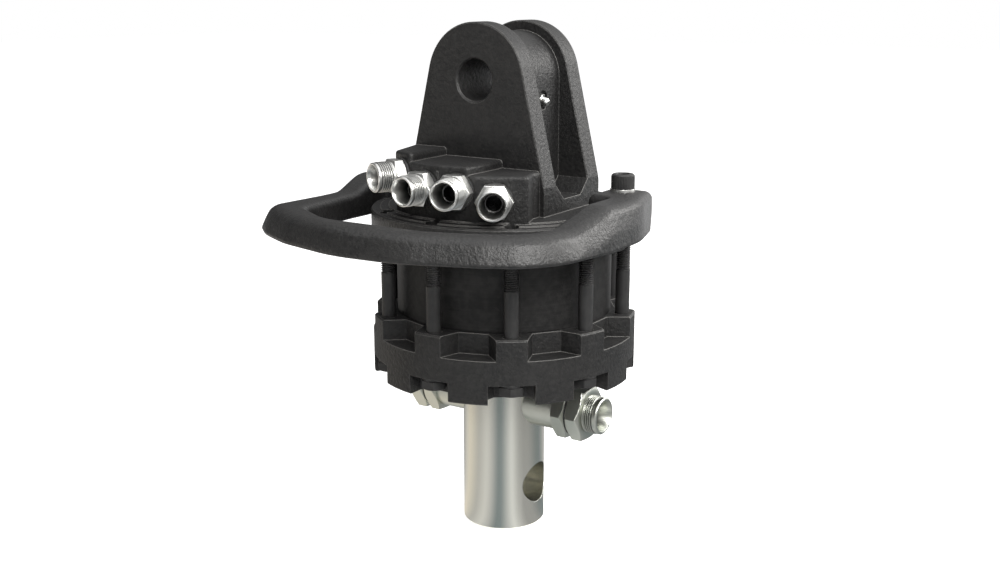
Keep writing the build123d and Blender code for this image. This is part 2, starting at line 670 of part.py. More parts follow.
# Rotor shaft: journal, vane hub and shaft in one forging
with BuildPart() as rotor_shaft:
    hub_bottom = cover_top_z - flange_face_z
    shaft_bottom = shaft_end_z - flange_face_z
    turned(joint_plane, [
        (0, journal_len), (journal_r, journal_len), (journal_r, -hub_end_play), (hub_r, -hub_end_play),
        (hub_r, hub_bottom), (shaft_r, hub_bottom), (shaft_r, shaft_bottom + shaft_end_chamfer),
        (shaft_r - shaft_end_chamfer, shaft_bottom), (0, shaft_bottom)])
    # Grooves of the swivel: a seal ring groove above, between and below the two oil grooves
    ring_grooves = [(z, swivel_seal_w, swivel_seal_depth) for z in swivel_seal_z]
    for z, width, depth in ring_grooves + [(z, oil_groove_w, oil_groove_depth) for z in oil_groove_z]:
        with BuildSketch(Plane.XY.offset(z - width / 2)):
            Circle(journal_r)
            Circle(journal_r - depth, mode=Mode.SUBTRACT)
        extrude(amount=width, mode=Mode.SUBTRACT)
    # Two long galleries from the journal's top, each fed by one oil groove
    with BuildSketch(joint_plane.offset(journal_len)):
        with GridLocations(2 * gallery_x, 0, 2, 1):
            Circle(gallery_d / 2)
    extrude(amount=lower_port_z - flange_face_z - journal_len - gallery_d / 2, mode=Mode.SUBTRACT)
    for z, angle in zip(oil_groove_z, shaft_sides.values()):
        with BuildSketch(radial_plane(gallery_x, angle, z)):
            Circle(gallery_cross_d / 2)
        extrude(amount=journal_r - gallery_x, mode=Mode.SUBTRACT)
    # Ports of the lower fittings, each drilled on to its gallery
    for angle in shaft_sides.values():
        with BuildSketch(radial_plane(lower_spigot_r, angle, lower_port_z)):
            Circle(lower_spigot_d / 2)
        extrude(amount=shaft_r, mode=Mode.SUBTRACT)
        with BuildSketch(radial_plane(gallery_x, angle, lower_port_z)):
            Circle(gallery_d / 2)
        extrude(amount=shaft_r - gallery_x, mode=Mode.SUBTRACT)
    # Cross bore for the grapple's pin
    with BuildSketch(Plane.YZ.offset(-shaft_r)) as cross:
        with Locations((0, cross_bore_z)):
            Circle(cross_bore_d / 2)
    extrude(amount=2 * shaft_r, mode=Mode.SUBTRACT)
    # Slots for the vanes
    with BuildSketch(Plane.XY.offset(cover_top_z)):
        with PolarLocations(vane_slot_root_r, vane_count):
            Rectangle(hub_r, vane_t + 2 * vane_clearance, align=(Align.MIN, Align.CENTER))
    extrude(amount=hub_h, mode=Mode.SUBTRACT)
keep(rotor_shaft.part, "rotor_shaft")

# Vanes at the cam's small radius, each with a bow spring behind it
vane_h = hub_h - 2 * vane_clearance
bow_half = vane_h / 2 - vane_spring_margin
for number in range(vane_count):
    angle = number * 360.0 / vane_count
    out = Vector(cos(radians(angle)), sin(radians(angle)), 0)
    vane_plane = Plane(origin=(0, 0, hub_mid_z), x_dir=out, z_dir=out.cross(Vector(0, 0, 1)))
    with BuildPart() as vane:
        with BuildSketch(vane_plane):
            with Locations((vane_base_r, 0)):
                Rectangle(vane_len, vane_h, align=(Align.MIN, Align.CENTER))
        extrude(amount=vane_t / 2, both=True)
        chamfer(vane.edges().filter_by(Axis.Z).sort_by(lambda e: e.center().dot(out))[-2:], length=vane_t / 4)
    keep(vane.part, f"vane_{number + 1}")
    with BuildPart() as vane_spring:
        with BuildSketch(vane_plane):
            with BuildLine():
                ThreePointArc((vane_slot_root_r, -bow_half), (vane_base_r - vane_spring_t, 0),
                              (vane_slot_root_r, bow_half))
                Line((vane_slot_root_r, bow_half), (vane_slot_root_r + vane_spring_t, bow_half))
                ThreePointArc((vane_slot_root_r + vane_spring_t, bow_half), (vane_base_r, 0),
                              (vane_slot_root_r + vane_spring_t, -bow_half))
                Line((vane_slot_root_r + vane_spring_t, -bow_half), (vane_slot_root_r, -bow_half))
            make_face()
        extrude(amount=vane_spring_w / 2, both=True)
    keep(vane_spring.part, f"vane_spring_{number + 1}")

# Bushes and thrust washers
ring("upper_bush", flange_face_z + thrust_t, journal_r + running_clearance, upper_bush_r, upper_bush_len)
ring("lower_bush", cover_top_z - bush_end, shaft_r + running_clearance, lower_bush_r, lower_bush_len)
ring("upper_thrust_washer", flange_face_z, journal_r + thrust_inner_gap, thrust_outer_r, thrust_t)
ring("lower_thrust_washer", cover_top_z - thrust_t, shaft_r + thrust_inner_gap, thrust_outer_r, thrust_t)

# Swivel seal rings in the journal's grooves
for number, z in enumerate(swivel_seal_z, start=1):
    ring(f"swivel_seal_{number}", z - swivel_seal_w / 2, journal_r - swivel_seal_depth, journal_r, swivel_seal_w)

with BuildPart() as gallery_plugs:
    with BuildSketch(joint_plane.offset(journal_len)):
        with GridLocations(2 * gallery_x, 0, 2, 1):
            Circle(gallery_d / 2)
    extrude(amount=-gallery_plug_len)
    with BuildSketch(joint_plane.offset(journal_len)):
        with GridLocations(2 * gallery_x, 0, 2, 1):
            RegularPolygon(radius=gallery_d / 4, side_count=6, major_radius=False)
    extrude(amount=-gallery_plug_len / 2, mode=Mode.SUBTRACT)
keep(gallery_plugs.part, "gallery_plugs")

# Seal rings between the stator and the two castings
for name, z in (("upper_oring", flange_face_z + oring_d / 2), ("lower_oring", cover_top_z - oring_d / 2)):
    with BuildPart() as oring:
        with BuildSketch(Plane.XZ):
            with Locations((oring_r, z)):
                Circle(oring_d / 2)
        revolve(axis=Axis.Z)
    keep(oring.part, name)

with BuildPart() as locating_pins:
    for z in (flange_face_z, cover_top_z):
        with BuildSketch(Plane.XY.offset(z)):
            with Locations(*[polar(pin_fixing_r, angle) for angle in pin_fixing_deg]):
                Circle(pin_fixing_d / 2)
        extrude(amount=pin_fixing_len / 2, both=True)
keep(locating_pins.part, "locating_pins")

# Shaft seal: a cased ring with a lip, and the wiper below it
seal_r = shaft_r + running_clearance
with BuildPart() as shaft_seal:
    turned(Plane.XY.offset(cover_bottom_z + wiper_t + wiper_retain), [
        (seal_r, 0), (seal_pocket_r, 0), (seal_pocket_r, shaft_seal_t),
        (seal_pocket_r - shaft_seal_case_w, shaft_seal_t), (seal_pocket_r - shaft_seal_case_w, shaft_seal_lip_t),
        (seal_r + shaft_seal_lip_t, shaft_seal_lip_t), (seal_r + shaft_seal_lip_t, shaft_seal_t),
        (seal_r, shaft_seal_t - shaft_seal_lip_t / 2)])
keep(shaft_seal.part, "shaft_seal")

with BuildPart() as wiper_ring:
    turned(Plane.XY.offset(cover_bottom_z), [
        (seal_r, 0), (seal_r + wiper_lip_w, 0), (seal_r + wiper_lip_w * 2, wiper_retain),
        (seal_pocket_r, wiper_retain), (seal_pocket_r, wiper_retain + wiper_t), (seal_r, wiper_retain + wiper_t)])
keep(wiper_ring.part, "wiper_ring")

# Fittings on the shaft: an extension screwed into the shaft, a seal and a male fitting, on each side
for side, angle in shaft_sides.items():
    start = radial_plane(0, angle, lower_port_z)
    socket_end = lower_stub_end + lower_extension_hex_t
    stub_r = lower_stub_d / 2
    spigot_r = lower_spigot_d / 2
    bore_r = lower_bore_d / 2
    with BuildPart() as lower_extension:
        with BuildSketch(start.offset(shaft_r / 2)):
            Circle(stub_r)
        extrude(amount=lower_stub_end - shaft_r / 2)
        hexagon(start, lower_hex_af, lower_stub_end, socket_end)
        with BuildSketch(Plane.XY.offset(lower_port_z)):
            Circle(shaft_r)
        extrude(amount=lower_hex_af, both=True, mode=Mode.SUBTRACT)
        with BuildSketch(start.offset(lower_spigot_r)):
            Circle(spigot_r)
        extrude(amount=lower_spigot_len + 1)
        with BuildSketch(start):
            Circle(bore_r)
        extrude(amount=socket_end, mode=Mode.SUBTRACT)
        with BuildSketch(start.offset(socket_end)):
            Circle(spigot_r)
        extrude(amount=-lower_spigot_len, mode=Mode.SUBTRACT)
    keep(lower_extension.part, f"lower_extension_{side}")
    with BuildPart() as lower_seal:
        with BuildSketch(start.offset(socket_end)):
            Circle(lower_seal_d / 2)
            Circle(spigot_r, mode=Mode.SUBTRACT)
        extrude(amount=lower_seal_t)
    keep(lower_seal.part, f"lower_seal_{side}")
    hex_start = socket_end + lower_seal_t
    hex_end = hex_start + lower_fitting_hex_t
    tip = hex_end + lower_thread_len
    thread_r = lower_thread_d / 2
    mouth_r = lower_mouth_d / 2
    lip = fitting_lip
    foot = socket_end - lower_spigot_len
    with BuildPart() as lower_fitting:
        hexagon(start, lower_hex_af, hex_start, hex_end)
        turned(start, [(0, foot), (spigot_r, foot), (spigot_r, hex_end), (thread_r - lip, hex_end),
                       (thread_r, hex_end + lip), (thread_r, tip - lip), (thread_r - lip, tip), (0, tip)])
        turned(start, [(0, foot), (bore_r, foot), (bore_r, tip - lower_mouth_len), (mouth_r, tip), (0, tip)],
               Mode.SUBTRACT)
    keep(lower_fitting.part, f"lower_fitting_{side}")

os.makedirs("parts", exist_ok=True)
for part in made:
    export_step(part, f"parts/{part.label}.step")
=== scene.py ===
import math

import bmesh
import bpy
from bpy.props import FloatProperty, FloatVectorProperty, IntProperty, PointerProperty
from mathutils import Euler, Matrix, Vector


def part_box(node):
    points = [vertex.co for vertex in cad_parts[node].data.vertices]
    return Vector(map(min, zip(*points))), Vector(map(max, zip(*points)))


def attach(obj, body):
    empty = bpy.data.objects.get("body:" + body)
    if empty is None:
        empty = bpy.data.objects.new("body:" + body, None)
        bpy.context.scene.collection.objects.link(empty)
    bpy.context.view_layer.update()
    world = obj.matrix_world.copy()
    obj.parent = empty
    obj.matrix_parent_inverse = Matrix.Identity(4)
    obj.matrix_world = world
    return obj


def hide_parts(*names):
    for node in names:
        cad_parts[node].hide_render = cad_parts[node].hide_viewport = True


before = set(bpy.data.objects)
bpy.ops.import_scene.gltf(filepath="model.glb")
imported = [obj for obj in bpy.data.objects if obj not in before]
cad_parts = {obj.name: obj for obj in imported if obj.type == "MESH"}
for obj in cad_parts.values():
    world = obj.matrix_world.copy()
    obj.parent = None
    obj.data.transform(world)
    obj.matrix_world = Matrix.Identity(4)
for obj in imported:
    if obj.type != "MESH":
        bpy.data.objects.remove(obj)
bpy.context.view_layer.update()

bl_info = {
    "name": "Hydraulic grapple rotator",
    "version": (1, 0, 0),
    "blender": (4, 5, 0),
    "location": "View3D > Sidebar > Rotator",
    "description": "Dresses the rotator's solids, cuts its threads and sets up its studio",
    "category": "Object",
}

MM = 0.001
BOLT_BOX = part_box("through_bolts")
SCREW_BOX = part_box("guard_screws")
SCREW_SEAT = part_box("guard_washers")[1][2]
SHAFT_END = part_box("rotor_shaft")[0][2]
WELD = 1e-6  # corners nearer than this, in metres, become one
TINY = 1e-9  # keeps a division by a length from failing

# Threads: depth as a share of the pitch, (share of the pitch, share of the depth) through one turn, the share of
# the pitch over which it runs out, how much shade is painted into its root, and the plain core's gap under the root
THREAD_DEPTH = 0.6
THREAD_PROFILE = ((0.0, 0.0), (0.34, 1.0), (0.50, 1.0), (0.84, 0.0))
THREAD_RUN_OUT = 0.55
THREAD_ROOT_SHADE = 0.9
CORE_GAP = 0.05 * MM

# Hexagons: share of the end face left flat, slope of the cone that cuts the corners, and steps in that cone
HEX_LAND = 0.97
HEX_SLOPE = math.tan(math.radians(30.0))
HEX_STEPS = 6

# Port block: its radius, and each fitting's angle from the front in degrees and height in millimetres
PORT_BLOCK_R = 81.0 * MM
PORT_SEATS = ((-25.3, -62.5), (-7.3, -68.0), (10.7, -68.0), (28.7, -73.5))

# Hose guard as the solid has it, in millimetres: the bends of its outer line at the foot as (x, y, radius), from
# the left lug round to the right one, and those of its top along each arm as (y, z, radius)
GUARD_BENDS = ((-106.0, 23.0, 0.0), (-119.0, -20.0, 80.0), (-119.0, -60.0, 80.0), (-121.5, -118.0, 16.0),
               (-103.0, -134.0, 60.0), (-72.5, -149.3, 60.0), (-25.0, -162.6, 100.0), (25.0, -159.3, 100.0),
               (74.5, -140.8, 60.0), (96.0, -129.0, 40.0), (112.6, -107.5, 60.0), (119.0, -60.0, 80.0),
               (119.0, -20.0, 80.0), (106.0, 23.0, 0.0))
GUARD_TOPS = {"right": ((-200.0, -83.0, 0.0), (-88.0, -83.0, 30.0), (-54.0, -73.0, 30.0), (200.0, -73.0, 0.0)),
              "left": ((-200.0, -83.0, 0.0), (-49.0, -83.0, 30.0), (-24.0, -73.0, 30.0), (200.0, -73.0, 0.0))}
# Its mesh is cut by planes across z, x and y at these places, so that its face can bend
GUARD_CUTS = ((2, range(-98, -76, 2)), (0, range(-114, 120, 12)), (1, range(-156, 12, 12)))
# The face moves down to a reach inside the outer line, fading out before it. The movement grows along the arms
# from the share at the lugs, and the left corner's foot spreads beyond an x, each over a length.
FACE_REACH, FACE_FADE = 17.0, 11.5
LUG_SHARE, ARM_START, ARM_FADE = 0.15, -10.0, 60.0
CORNER_START, CORNER_FADE = -40.0, 40.0

# Studio floor, and the card on it that shows only in reflections. The card's tones are (degrees from the front
# towards +X, grey, tint from cool -1 to warm 1), and its level rises with the distance from the shaft, given as
# a share of its outer radius.
FLOOR_REACH = 8.0
FLOOR_GAP = 0.4 * MM
CARD_GAP = 0.2 * MM
CARD_INNER, CARD_OUTER, CARD_SIDES = 0.0305, 2.4, 48
CARD_FOOT, CARD_DIM, CARD_DIM_END, CARD_FULL = 0.17, 0.23, 0.36, 0.46
CARD_WARM, CARD_COOL = (1.0, 0.92, 0.80), (0.86, 1.0, 1.05)
CARD_TONES = ((-180.0, 0.60, 0.0), (-148.0, 0.34, 0.0), (-112.0, 0.42, 0.0), (-92.0, 0.76, 0.5),
              (-74.0, 0.90, 1.0), (-60.0, 0.80, 0.8), (-37.0, 0.58, 0.2), (-12.0, 0.82, 0.2), (2.0, 0.60, 0.0),
              (17.0, 0.30, -1.0), (27.0, 0.32, -1.0), (38.0, 0.58, -0.2), (52.0, 0.92, 0.0), (64.0, 0.64, 0.0),
              (78.0, 0.42, 0.0), (100.0, 0.42, 0.0), (122.0, 0.30, -0.5), (142.0, 0.26, -1.0), (166.0, 0.48, 0.0),
              (180.0, 0.60, 0.0))
# Dark upright screen round the part, also only in reflections: (degrees from the front, grey)
SCREEN_RADIUS, SCREEN_FOOT, SCREEN_TOP = 2.3, 1.0 * MM, 2.6
SCREEN_TURNS = range(-160, 130, 10)
SCREEN_TONES = ((-160.0, 0.9), (-144.0, 0.14), (-30.0, 0.10), (90.0, 0.10), (112.0, 0.5), (120.0, 0.8))
# Lamps: name in RotatorStage, place, what it points at, width and height, colour
LAMPS = (("key", (1.3, 1.15, 0.76), (0.0, 0.0, -0.10), (1.2, 1.0), (1.0, 0.985, 0.96)),
         ("top", (0.2, -0.3, 1.7), (0.0, 0.0, -0.1), (1.6, 1.6), (1.0, 1.0, 1.0)),
         ("side", (1.14, -0.80, 0.80), (0.05, -0.1, -0.08), (1.6, 0.5), (1.0, 0.99, 0.97)))
# Camera: place, and its tilt below the level and turn from the front in degrees
CAMERA_PLACE = (0.4641, -0.7172, 0.0583)
CAMERA_TILT, CAMERA_TURN = 13.47, 33.11


def size(label, text, default, low=0.0, high=1.0):
    """A length a user may change, kept in metres and shown in the scene's unit."""
    return FloatProperty(name=label, description=text, default=default, min=low, max=high, unit="LENGTH",
                         precision=5)


def share(label, text, default, low=0.0, high=1.0):
    """A plain factor."""
    return FloatProperty(name=label, description=text, default=default, min=low, max=high)


def shade(label, text, default):
    """A colour in linear light."""
    return FloatVectorProperty(name=label, description=text, default=default, min=0.0, max=1.0, subtype="COLOR")


class RotatorPaint(bpy.types.PropertyGroup):
    """Black paint over rough castings."""
    colour: shade("Paint", "Colour of the black paint", (0.0070, 0.0070, 0.0073))
    worn: shade("Thin paint", "Colour where the paint is thin or dusty", (0.026, 0.025, 0.024))
    # Painted highlight: the colour of the upper edges where light from above would catch them, together with rubbed
    # paint
    rim: shade("Edges", "Colour where the paint is rubbed off along the edges", (0.16, 0.155, 0.148))
    gloss: share("Gloss", "Strength of the paint's reflection", 0.36)
    roughness: share("Roughness", "Roughness of the paint between its bumps", 0.36)
    peel: size("Peel", "Distance between the soft swells of the paint", 2.6 * MM)
    grain: size("Grain", "Distance between the fine grains of the sand casting", 1.0 * MM)
    depth: size("Depth", "Height of the swells", 0.85 * MM)
    edge: size("Edge", "Radius of the light that the paint catches on its edges", 1.1 * MM)


class RotatorGuard(bpy.types.PropertyGroup):
    """Shape of the hose guard's outer face."""
    lean: size("Lean", "How far the outer face leans back at its top", 5.0 * MM)
    crown: size("Crown", "Further roundness of the outer top edge", 3.0 * MM)
    spread: size("Spread", "How far the foot of the left corner stands out", 1.5 * MM)
    depth: size("Face", "Height of the leaning face", 15.5 * MM)


class RotatorMetal(bpy.types.PropertyGroup):
    """Plated and ground metal."""
    bright: shade("Bright zinc", "Colour of the upper fittings", (0.80, 0.80, 0.78))
    pale: shade("Pale zinc", "Colour of the lower fittings", (0.54, 0.56, 0.50))
    shaft: shade("Shaft", "Colour of the shaft", (0.71, 0.71, 0.645))
    # Painted shade: the plate goes towards this colour down in the threads and bores
    nook: shade("Nooks", "Colour of the plate down in the threads and bores", (0.06, 0.06, 0.06))
    roughness: share("Roughness", "Roughness of the plated faces", 0.24)


class RotatorFittings(bpy.types.PropertyGroup):
    """Sizes of the hose fittings."""
    pitch: size("Thread pitch", "Distance between the thread's turns", 1.5 * MM)
    hexagon: size("Hexagon", "Across the flats of the upper hexagons", 22.0 * MM)
    thread: size("Thread", "Diameter over the upper threads", 20.6 * MM)
    collar: size("Collar", "Plain collar ahead of the upper threads", 2.4 * MM)
    lower_hexagon: size("Lower hexagon", "Across the flats of the lower hexagons", 36.0 * MM)
    lower_thread: size("Lower thread", "Diameter over the lower threads", 27.0 * MM)
    lower_collar: size("Lower collar", "Plain collar ahead of the lower threads", 3.4 * MM)


class RotatorScrews(bpy.types.PropertyGroup):
    """Sizes of the long bolts and of the guard's screws."""
    bolts: IntProperty(name="Bolts", description="Number of long bolts", default=10, min=3, max=24)
    circle: size("Bolt circle", "Radius of the circle of the bolts", 86.5 * MM)
    bolt: size("Bolt", "Diameter of the bolts", 10.0 * MM)
    pitch: size("Thread pitch", "Distance between the thread's turns", 1.5 * MM)
    head: size("Head", "Across the flats of the bolt heads", 16.0 * MM)
    head_height: size("Head height", "Height of the bolt heads", 6.4 * MM)
    thread_start: size("Thread below the flange", "Length of thread that shows under the flange", 19.0 * MM)
    knurls: IntProperty(name="Knurls", description="Ridges round a socket head", default=44, min=12, max=96)
    socket: size("Socket", "Across the flats of the socket", 8.0 * MM)
    socket_depth: size("Socket depth", "Depth of the socket", 5.0 * MM)


class RotatorStage(bpy.types.PropertyGroup):
    """Floor, cards, lamps and camera."""
    floor: shade("Floor", "Colour of the floor", (0.92, 0.92, 0.92))
    key: share("Key lamp", "Power of the large lamp behind at the right, in watts", 32.0, 0.0, 500.0)
    top: share("Top lamp", "Power of the lamp above, in watts", 9.0, 0.0, 500.0)
    card_near: share("Near card", "Brightness of the middle of the reflection card", 0.35)
    card_far: share("Far card", "Brightness of the far part of the reflection card", 2.4, 1.0, 4.0)
    side: share("Side lamp", "Power of the soft lamp in front at the right, in watts", 40.0, 0.0, 500.0)
    glow: share("Floor glow", "How far the floor that the camera sees is lifted towards white", 0.62)
    sky: share("Sky", "Strength of the even light all round", 0.45)
    lens: FloatProperty(name="Lens", description="Focal length in millimetres", default=43.67, min=10.0, max=200.0)


class Value:
    """A socket of a material; sums and products of it add their Math nodes."""

    def __init__(self, finish, socket):
        self.finish = finish
        self.socket = socket

    def maths(self, operation, *terms):
        return self.finish.node("ShaderNodeMath", {"operation": operation}, dict(enumerate(terms)))

    def __add__(self, other):
        return self.maths("ADD", self, other)

    def __radd__(self, other):
        return self.maths("ADD", other, self)

    def __sub__(self, other):
        return self.maths("SUBTRACT", self, other)

    def __rsub__(self, other):
        return self.maths("SUBTRACT", other, self)

    def __mul__(self, other):
        return self.maths("MULTIPLY", self, other)

    def __rmul__(self, other):
        return self.maths("MULTIPLY", other, self)

    def __truediv__(self, other):
        return self.maths("DIVIDE", self, other)

    def __rtruediv__(self, other):
        return self.maths("DIVIDE", other, self)


class Finish:
    """A material, or the world, written as expressions."""

    def __init__(self, owner):
        owner.use_nodes = True
        self.owner = owner
        self.tree = owner.node_tree
        self.tree.nodes.clear()

    def node(self, kind, settings=None, links=None, output=0):
        """Add a node: its settings first, ramp stops among them, then the values or links of its sockets."""
        made = self.tree.nodes.new(kind)
        for name, value in (settings or {}).items():
            if name == "stops":
                ramp = made.color_ramp.elements
                while len(ramp) < len(value):
                    ramp.new(0.5)
                for stop, (place, colour) in zip(ramp, value):
                    stop.position = place
                    stop.color = colour if len(colour) == 4 else (*colour, 1.0)
            else:
                setattr(made, name, value)
        for socket, value in (links or {}).items():
            if isinstance(value, Value):
                self.tree.links.new(value.socket, made.inputs[socket])
            else:
                want = made.inputs[socket]
                if hasattr(want.default_value, "__len__") and len(want.default_value) == 4 and len(value) == 3:
                    value = (*value, 1.0)
                want.default_value = value
        return Value(self, made.outputs[output]) if len(made.outputs) else None

    def outputs(self, made, *names):
        """Named outputs of a node that is there."""
        return [Value(self, made.socket.node.outputs[name]) for name in names]

    def here(self):
        """Place on the object, in metres."""
        return self.node("ShaderNodeTexCoord", output="Object")

    def azimuth(self):
        """Direction from the part's axis as a share of a turn: 0.5 in front, 0.75 towards +X, 0 and 1 behind."""
        x, y = self.outputs(self.node("ShaderNodeSeparateXYZ", {}, {"Vector": self.here()}), "X", "Y")
        return x.maths("ARCTAN2", x, 0.0 - y) / (2 * math.pi) + 0.5

    def seen(self):
        """1 where the camera looks, straight or by way of a reflection or clear glass, and 0 for other light."""
        camera, glossy, through = self.outputs(
            self.node("ShaderNodeLightPath"), "Is Camera Ray", "Is Glossy Ray", "Is Transmission Ray")
        return camera.maths("MAXIMUM", camera.maths("MAXIMUM", camera, glossy), through)

    def noise(self, pitch, detail=2.0, roughness=0.5, stretch=(1.0, 1.0, 1.0)):
        """Noise whose features lie about a pitch apart, in metres."""
        place = self.node("ShaderNodeMapping", {}, {"Vector": self.here(), "Scale": stretch})
        return self.node("ShaderNodeTexNoise", {"noise_dimensions": "3D"},
                         {"Vector": place, "Scale": 1.0 / pitch, "Detail": detail, "Roughness": roughness})

    def ramp(self, value, *stops):
        """Grey ramp through (place, grey) stops."""
        return self.node("ShaderNodeValToRGB", {"stops": [(place, (grey,) * 3) for place, grey in stops]},
                         {"Fac": value})

    def mix(self, factor, low, high):
        """Blend two colours."""
        return self.node("ShaderNodeMix", {"data_type": "RGBA"}, {0: factor, 6: low, 7: high}, 2)

    def bump(self, height, depth, strength=1.0, edge=None):
        """Bumps of a depth in metres, on edges rounded for the light by a radius."""
        links = {"Height": height, "Distance": depth, "Strength": strength}
        if edge:
            links["Normal"] = self.node("ShaderNodeBevel", {"samples": 6}, {"Radius": edge})
        return self.node("ShaderNodeBump", {}, links)

    def rim(self, radius, gain):
        """1 along the edges that lie open to the top and 0 on the faces and under them: the mask of a highlight
        painted along the upper edges.
        """
        soft = self.node("ShaderNodeBevel", {"samples": 8}, {"Radius": radius})
        face = self.node("ShaderNodeNewGeometry", output="Normal")
        same = self.node("ShaderNodeVectorMath", {"operation": "DOT_PRODUCT"}, {0: soft, 1: face}, "Value")
        up = self.node("ShaderNodeSeparateXYZ", {}, {"Vector": soft}, "Z")
        return self.node("ShaderNodeClamp", {}, {"Value": (1.0 - same) * gain * self.ramp(
            up, (0.0, 0.12), (0.15, 0.35), (0.6, 1.0))})

    def unshaded_share(self, reach):
        """1 in the open, less in bores; it sets where shade is painted."""
        return self.node("ShaderNodeAmbientOcclusion", {"samples": 16, "only_local": True}, {"Distance": reach},
                         "AO")

    def layer(self, name):
        """Value that the mesh carries under a name."""
        return self.node("ShaderNodeAttribute", {"attribute_name": name}, output="Fac")

    def surface(self, **links):
        """Close the material with the standard shader."""
        shader = self.node("ShaderNodeBsdfPrincipled", {}, {name.replace("_", " "): v for name, v in links.items()})
        self.node("ShaderNodeOutputMaterial", {}, {"Surface": shader})
        return self.owner


FINISHES = {}


def finish(name):
    """The finish of a name, made the first time that it is asked for."""
    if name not in FINISHES:
        FINISHES[name] = RECIPES[name](Finish(bpy.data.materials.new(name)))
    return FINISHES[name]


def painted(new, swell, fine, rub_and_highlight, gloss, roughness, depth):
    """Black paint with soft swells, fine grain, thin patches, dusty tops, and a highlight painted lighter along the
    edges that face up, together with rubbed paint there.
    """
    look = bpy.context.scene.rotator_paint
    patch = new.ramp(new.noise(26.0 * MM, 4.0, 0.6), (0.35, 0.0), (0.75, 1.0))
    # Painted highlight along the edges that face up, where light from above would catch them; rubbed paint there
    # adds to it
    edge = new.rim(look.edge, rub_and_highlight) * (0.45 + fine * 0.9)
    lie = new.node("ShaderNodeNewGeometry", output="Normal")
    up = new.node("ShaderNodeSeparateXYZ", {}, {"Vector": lie}, "Z")
    dust = new.ramp(up, (0.75, 0.0), (0.97, 1.0))
    mottle = new.ramp(swell * 0.7 + fine * 0.3, (0.38, 0.0), (0.62, 1.0))
    body = new.mix(patch * 0.20 + fine * 0.15 + mottle * 0.30, tuple(look.colour), tuple(look.worn))
    return new.surface(
        Base_Color=new.mix(edge, body, tuple(look.rim)),
        Roughness=roughness + patch * 0.05 + fine * 0.12 + dust * 0.20,
        Specular_IOR_Level=gloss,
        Normal=new.bump(swell * 0.72 + fine * 0.28, depth, 0.9, look.edge))


def cast_paint(new):
    """Black paint on the sand castings."""
    look = bpy.context.scene.rotator_paint
    return painted(new, new.noise(look.peel, 2.0, 0.5), new.noise(look.grain, 2.0, 0.6), 6.0, look.gloss,
                   look.roughness, look.depth)


def guard_paint(new):
    """The guard's paint, over a coarser casting."""
    look = bpy.context.scene.rotator_paint
    return painted(new, new.noise(look.peel * 1.15, 3.0, 0.6), new.noise(look.grain * 1.2, 3.0, 0.65), 1.0,
                   look.gloss * 1.4, look.roughness - 0.04, look.depth)


def turned_paint(new):
    """Thin black paint on the drum's turned face: faint rings from the tool, few swells."""
    look = bpy.context.scene.rotator_paint
    rings = new.noise(1.1 * MM, 1.0, 0.5, (0.02, 0.02, 1.0))
    return painted(new, new.noise(look.peel * 1.6, 2.0, 0.5), rings, 2.0, look.gloss * 0.6,
                   look.roughness + 0.1, look.depth * 0.35)


def black_screw(new):
    """Black screw finish, with a dry grain and a little bare steel shining through."""
    black, bare = (0.012, 0.012, 0.013), (0.045, 0.044, 0.042)
    grain = new.noise(0.7 * MM, 2.0, 0.5)
    patch = new.noise(6.0 * MM, 3.0, 0.6)
    return new.surface(
        Base_Color=new.mix(patch * 0.6, black, bare),
        Metallic=0.25, Roughness=0.34 + grain * 0.18 + patch * 0.08,
        Normal=new.bump(grain, 0.06 * MM, 0.6, 0.3 * MM))


def bright_zinc(new):
    """Bright zinc plate: clean, with small dull spots, and shade painted dark down in the threads and bores."""
    look = bpy.context.scene.rotator_metal
    dull = (0.60, 0.59, 0.56)
    fine = new.noise(0.9 * MM, 3.0, 0.6)
    spot = new.ramp(new.noise(4.0 * MM, 2.0, 0.5), (0.50, 0.0), (0.80, 1.0))
    plate = new.mix(spot * 0.25 + fine * 0.10, tuple(look.bright), dull)
    return new.surface(
        # Painted shade down in the threads and bores, from the pieces' layer
        Base_Color=new.mix(new.layer("nook"), plate, tuple(look.nook)),
        Metallic=1.0, Roughness=look.roughness + 0.05 + fine * 0.06 + spot * 0.06,
        Normal=new.bump(fine, 0.006 * MM, 0.5, 0.3 * MM))


def pale_zinc(new):
    """Older zinc plate with a faint green cast, blotched and a little dull."""
    look = bpy.context.scene.rotator_metal
    blotch = (0.66, 0.67, 0.62)
    fine = new.noise(1.0 * MM, 3.0, 0.6)
    cloud = new.noise(8.0 * MM, 4.0, 0.6)
    plate = new.mix(cloud * 0.9, tuple(look.pale), blotch)
    return new.surface(
        # Painted shade down in the threads and bores, from the pieces' layer
        Base_Color=new.mix(new.layer("nook"), plate, tuple(look.nook)),
        Metallic=1.0, Roughness=look.roughness + 0.04 + fine * 0.08 + cloud * 0.06,
        Normal=new.bump(fine * 0.6 + cloud * 0.4, 0.012 * MM, 0.5, 0.3 * MM))


def shaft_steel(new):
    """Ground and plated shaft: very fine rings round the axis, slight clouds in the plate, and shade painted dark
    in its bore.
    """
    look = bpy.context.scene.rotator_metal
    # The first colour is shade painted in the bore
    bore, cloudy = (0.20, 0.21, 0.20), (0.75, 0.74, 0.68)
    rings = new.noise(0.5 * MM, 2.0, 0.6, (0.03, 0.03, 1.0))
    cloud = new.noise(22.0 * MM, 3.0, 0.55, (1.0, 1.0, 0.35))
    # Painted shade: the colour goes dark where the surroundings close in, down in the bore
    outside = new.ramp(new.unshaded_share(20.0 * MM), (0.05, 0.0), (0.5, 1.0))
    plate = new.mix(cloud * 0.6, tuple(look.shaft), cloudy)
    return new.surface(
        Base_Color=new.mix(outside, bore, plate),
        Metallic=1.0, Roughness=look.roughness - 0.07 + rings * 0.05 + cloud * 0.05,
        Normal=new.bump(rings, 0.003 * MM, 0.4, 0.5 * MM))


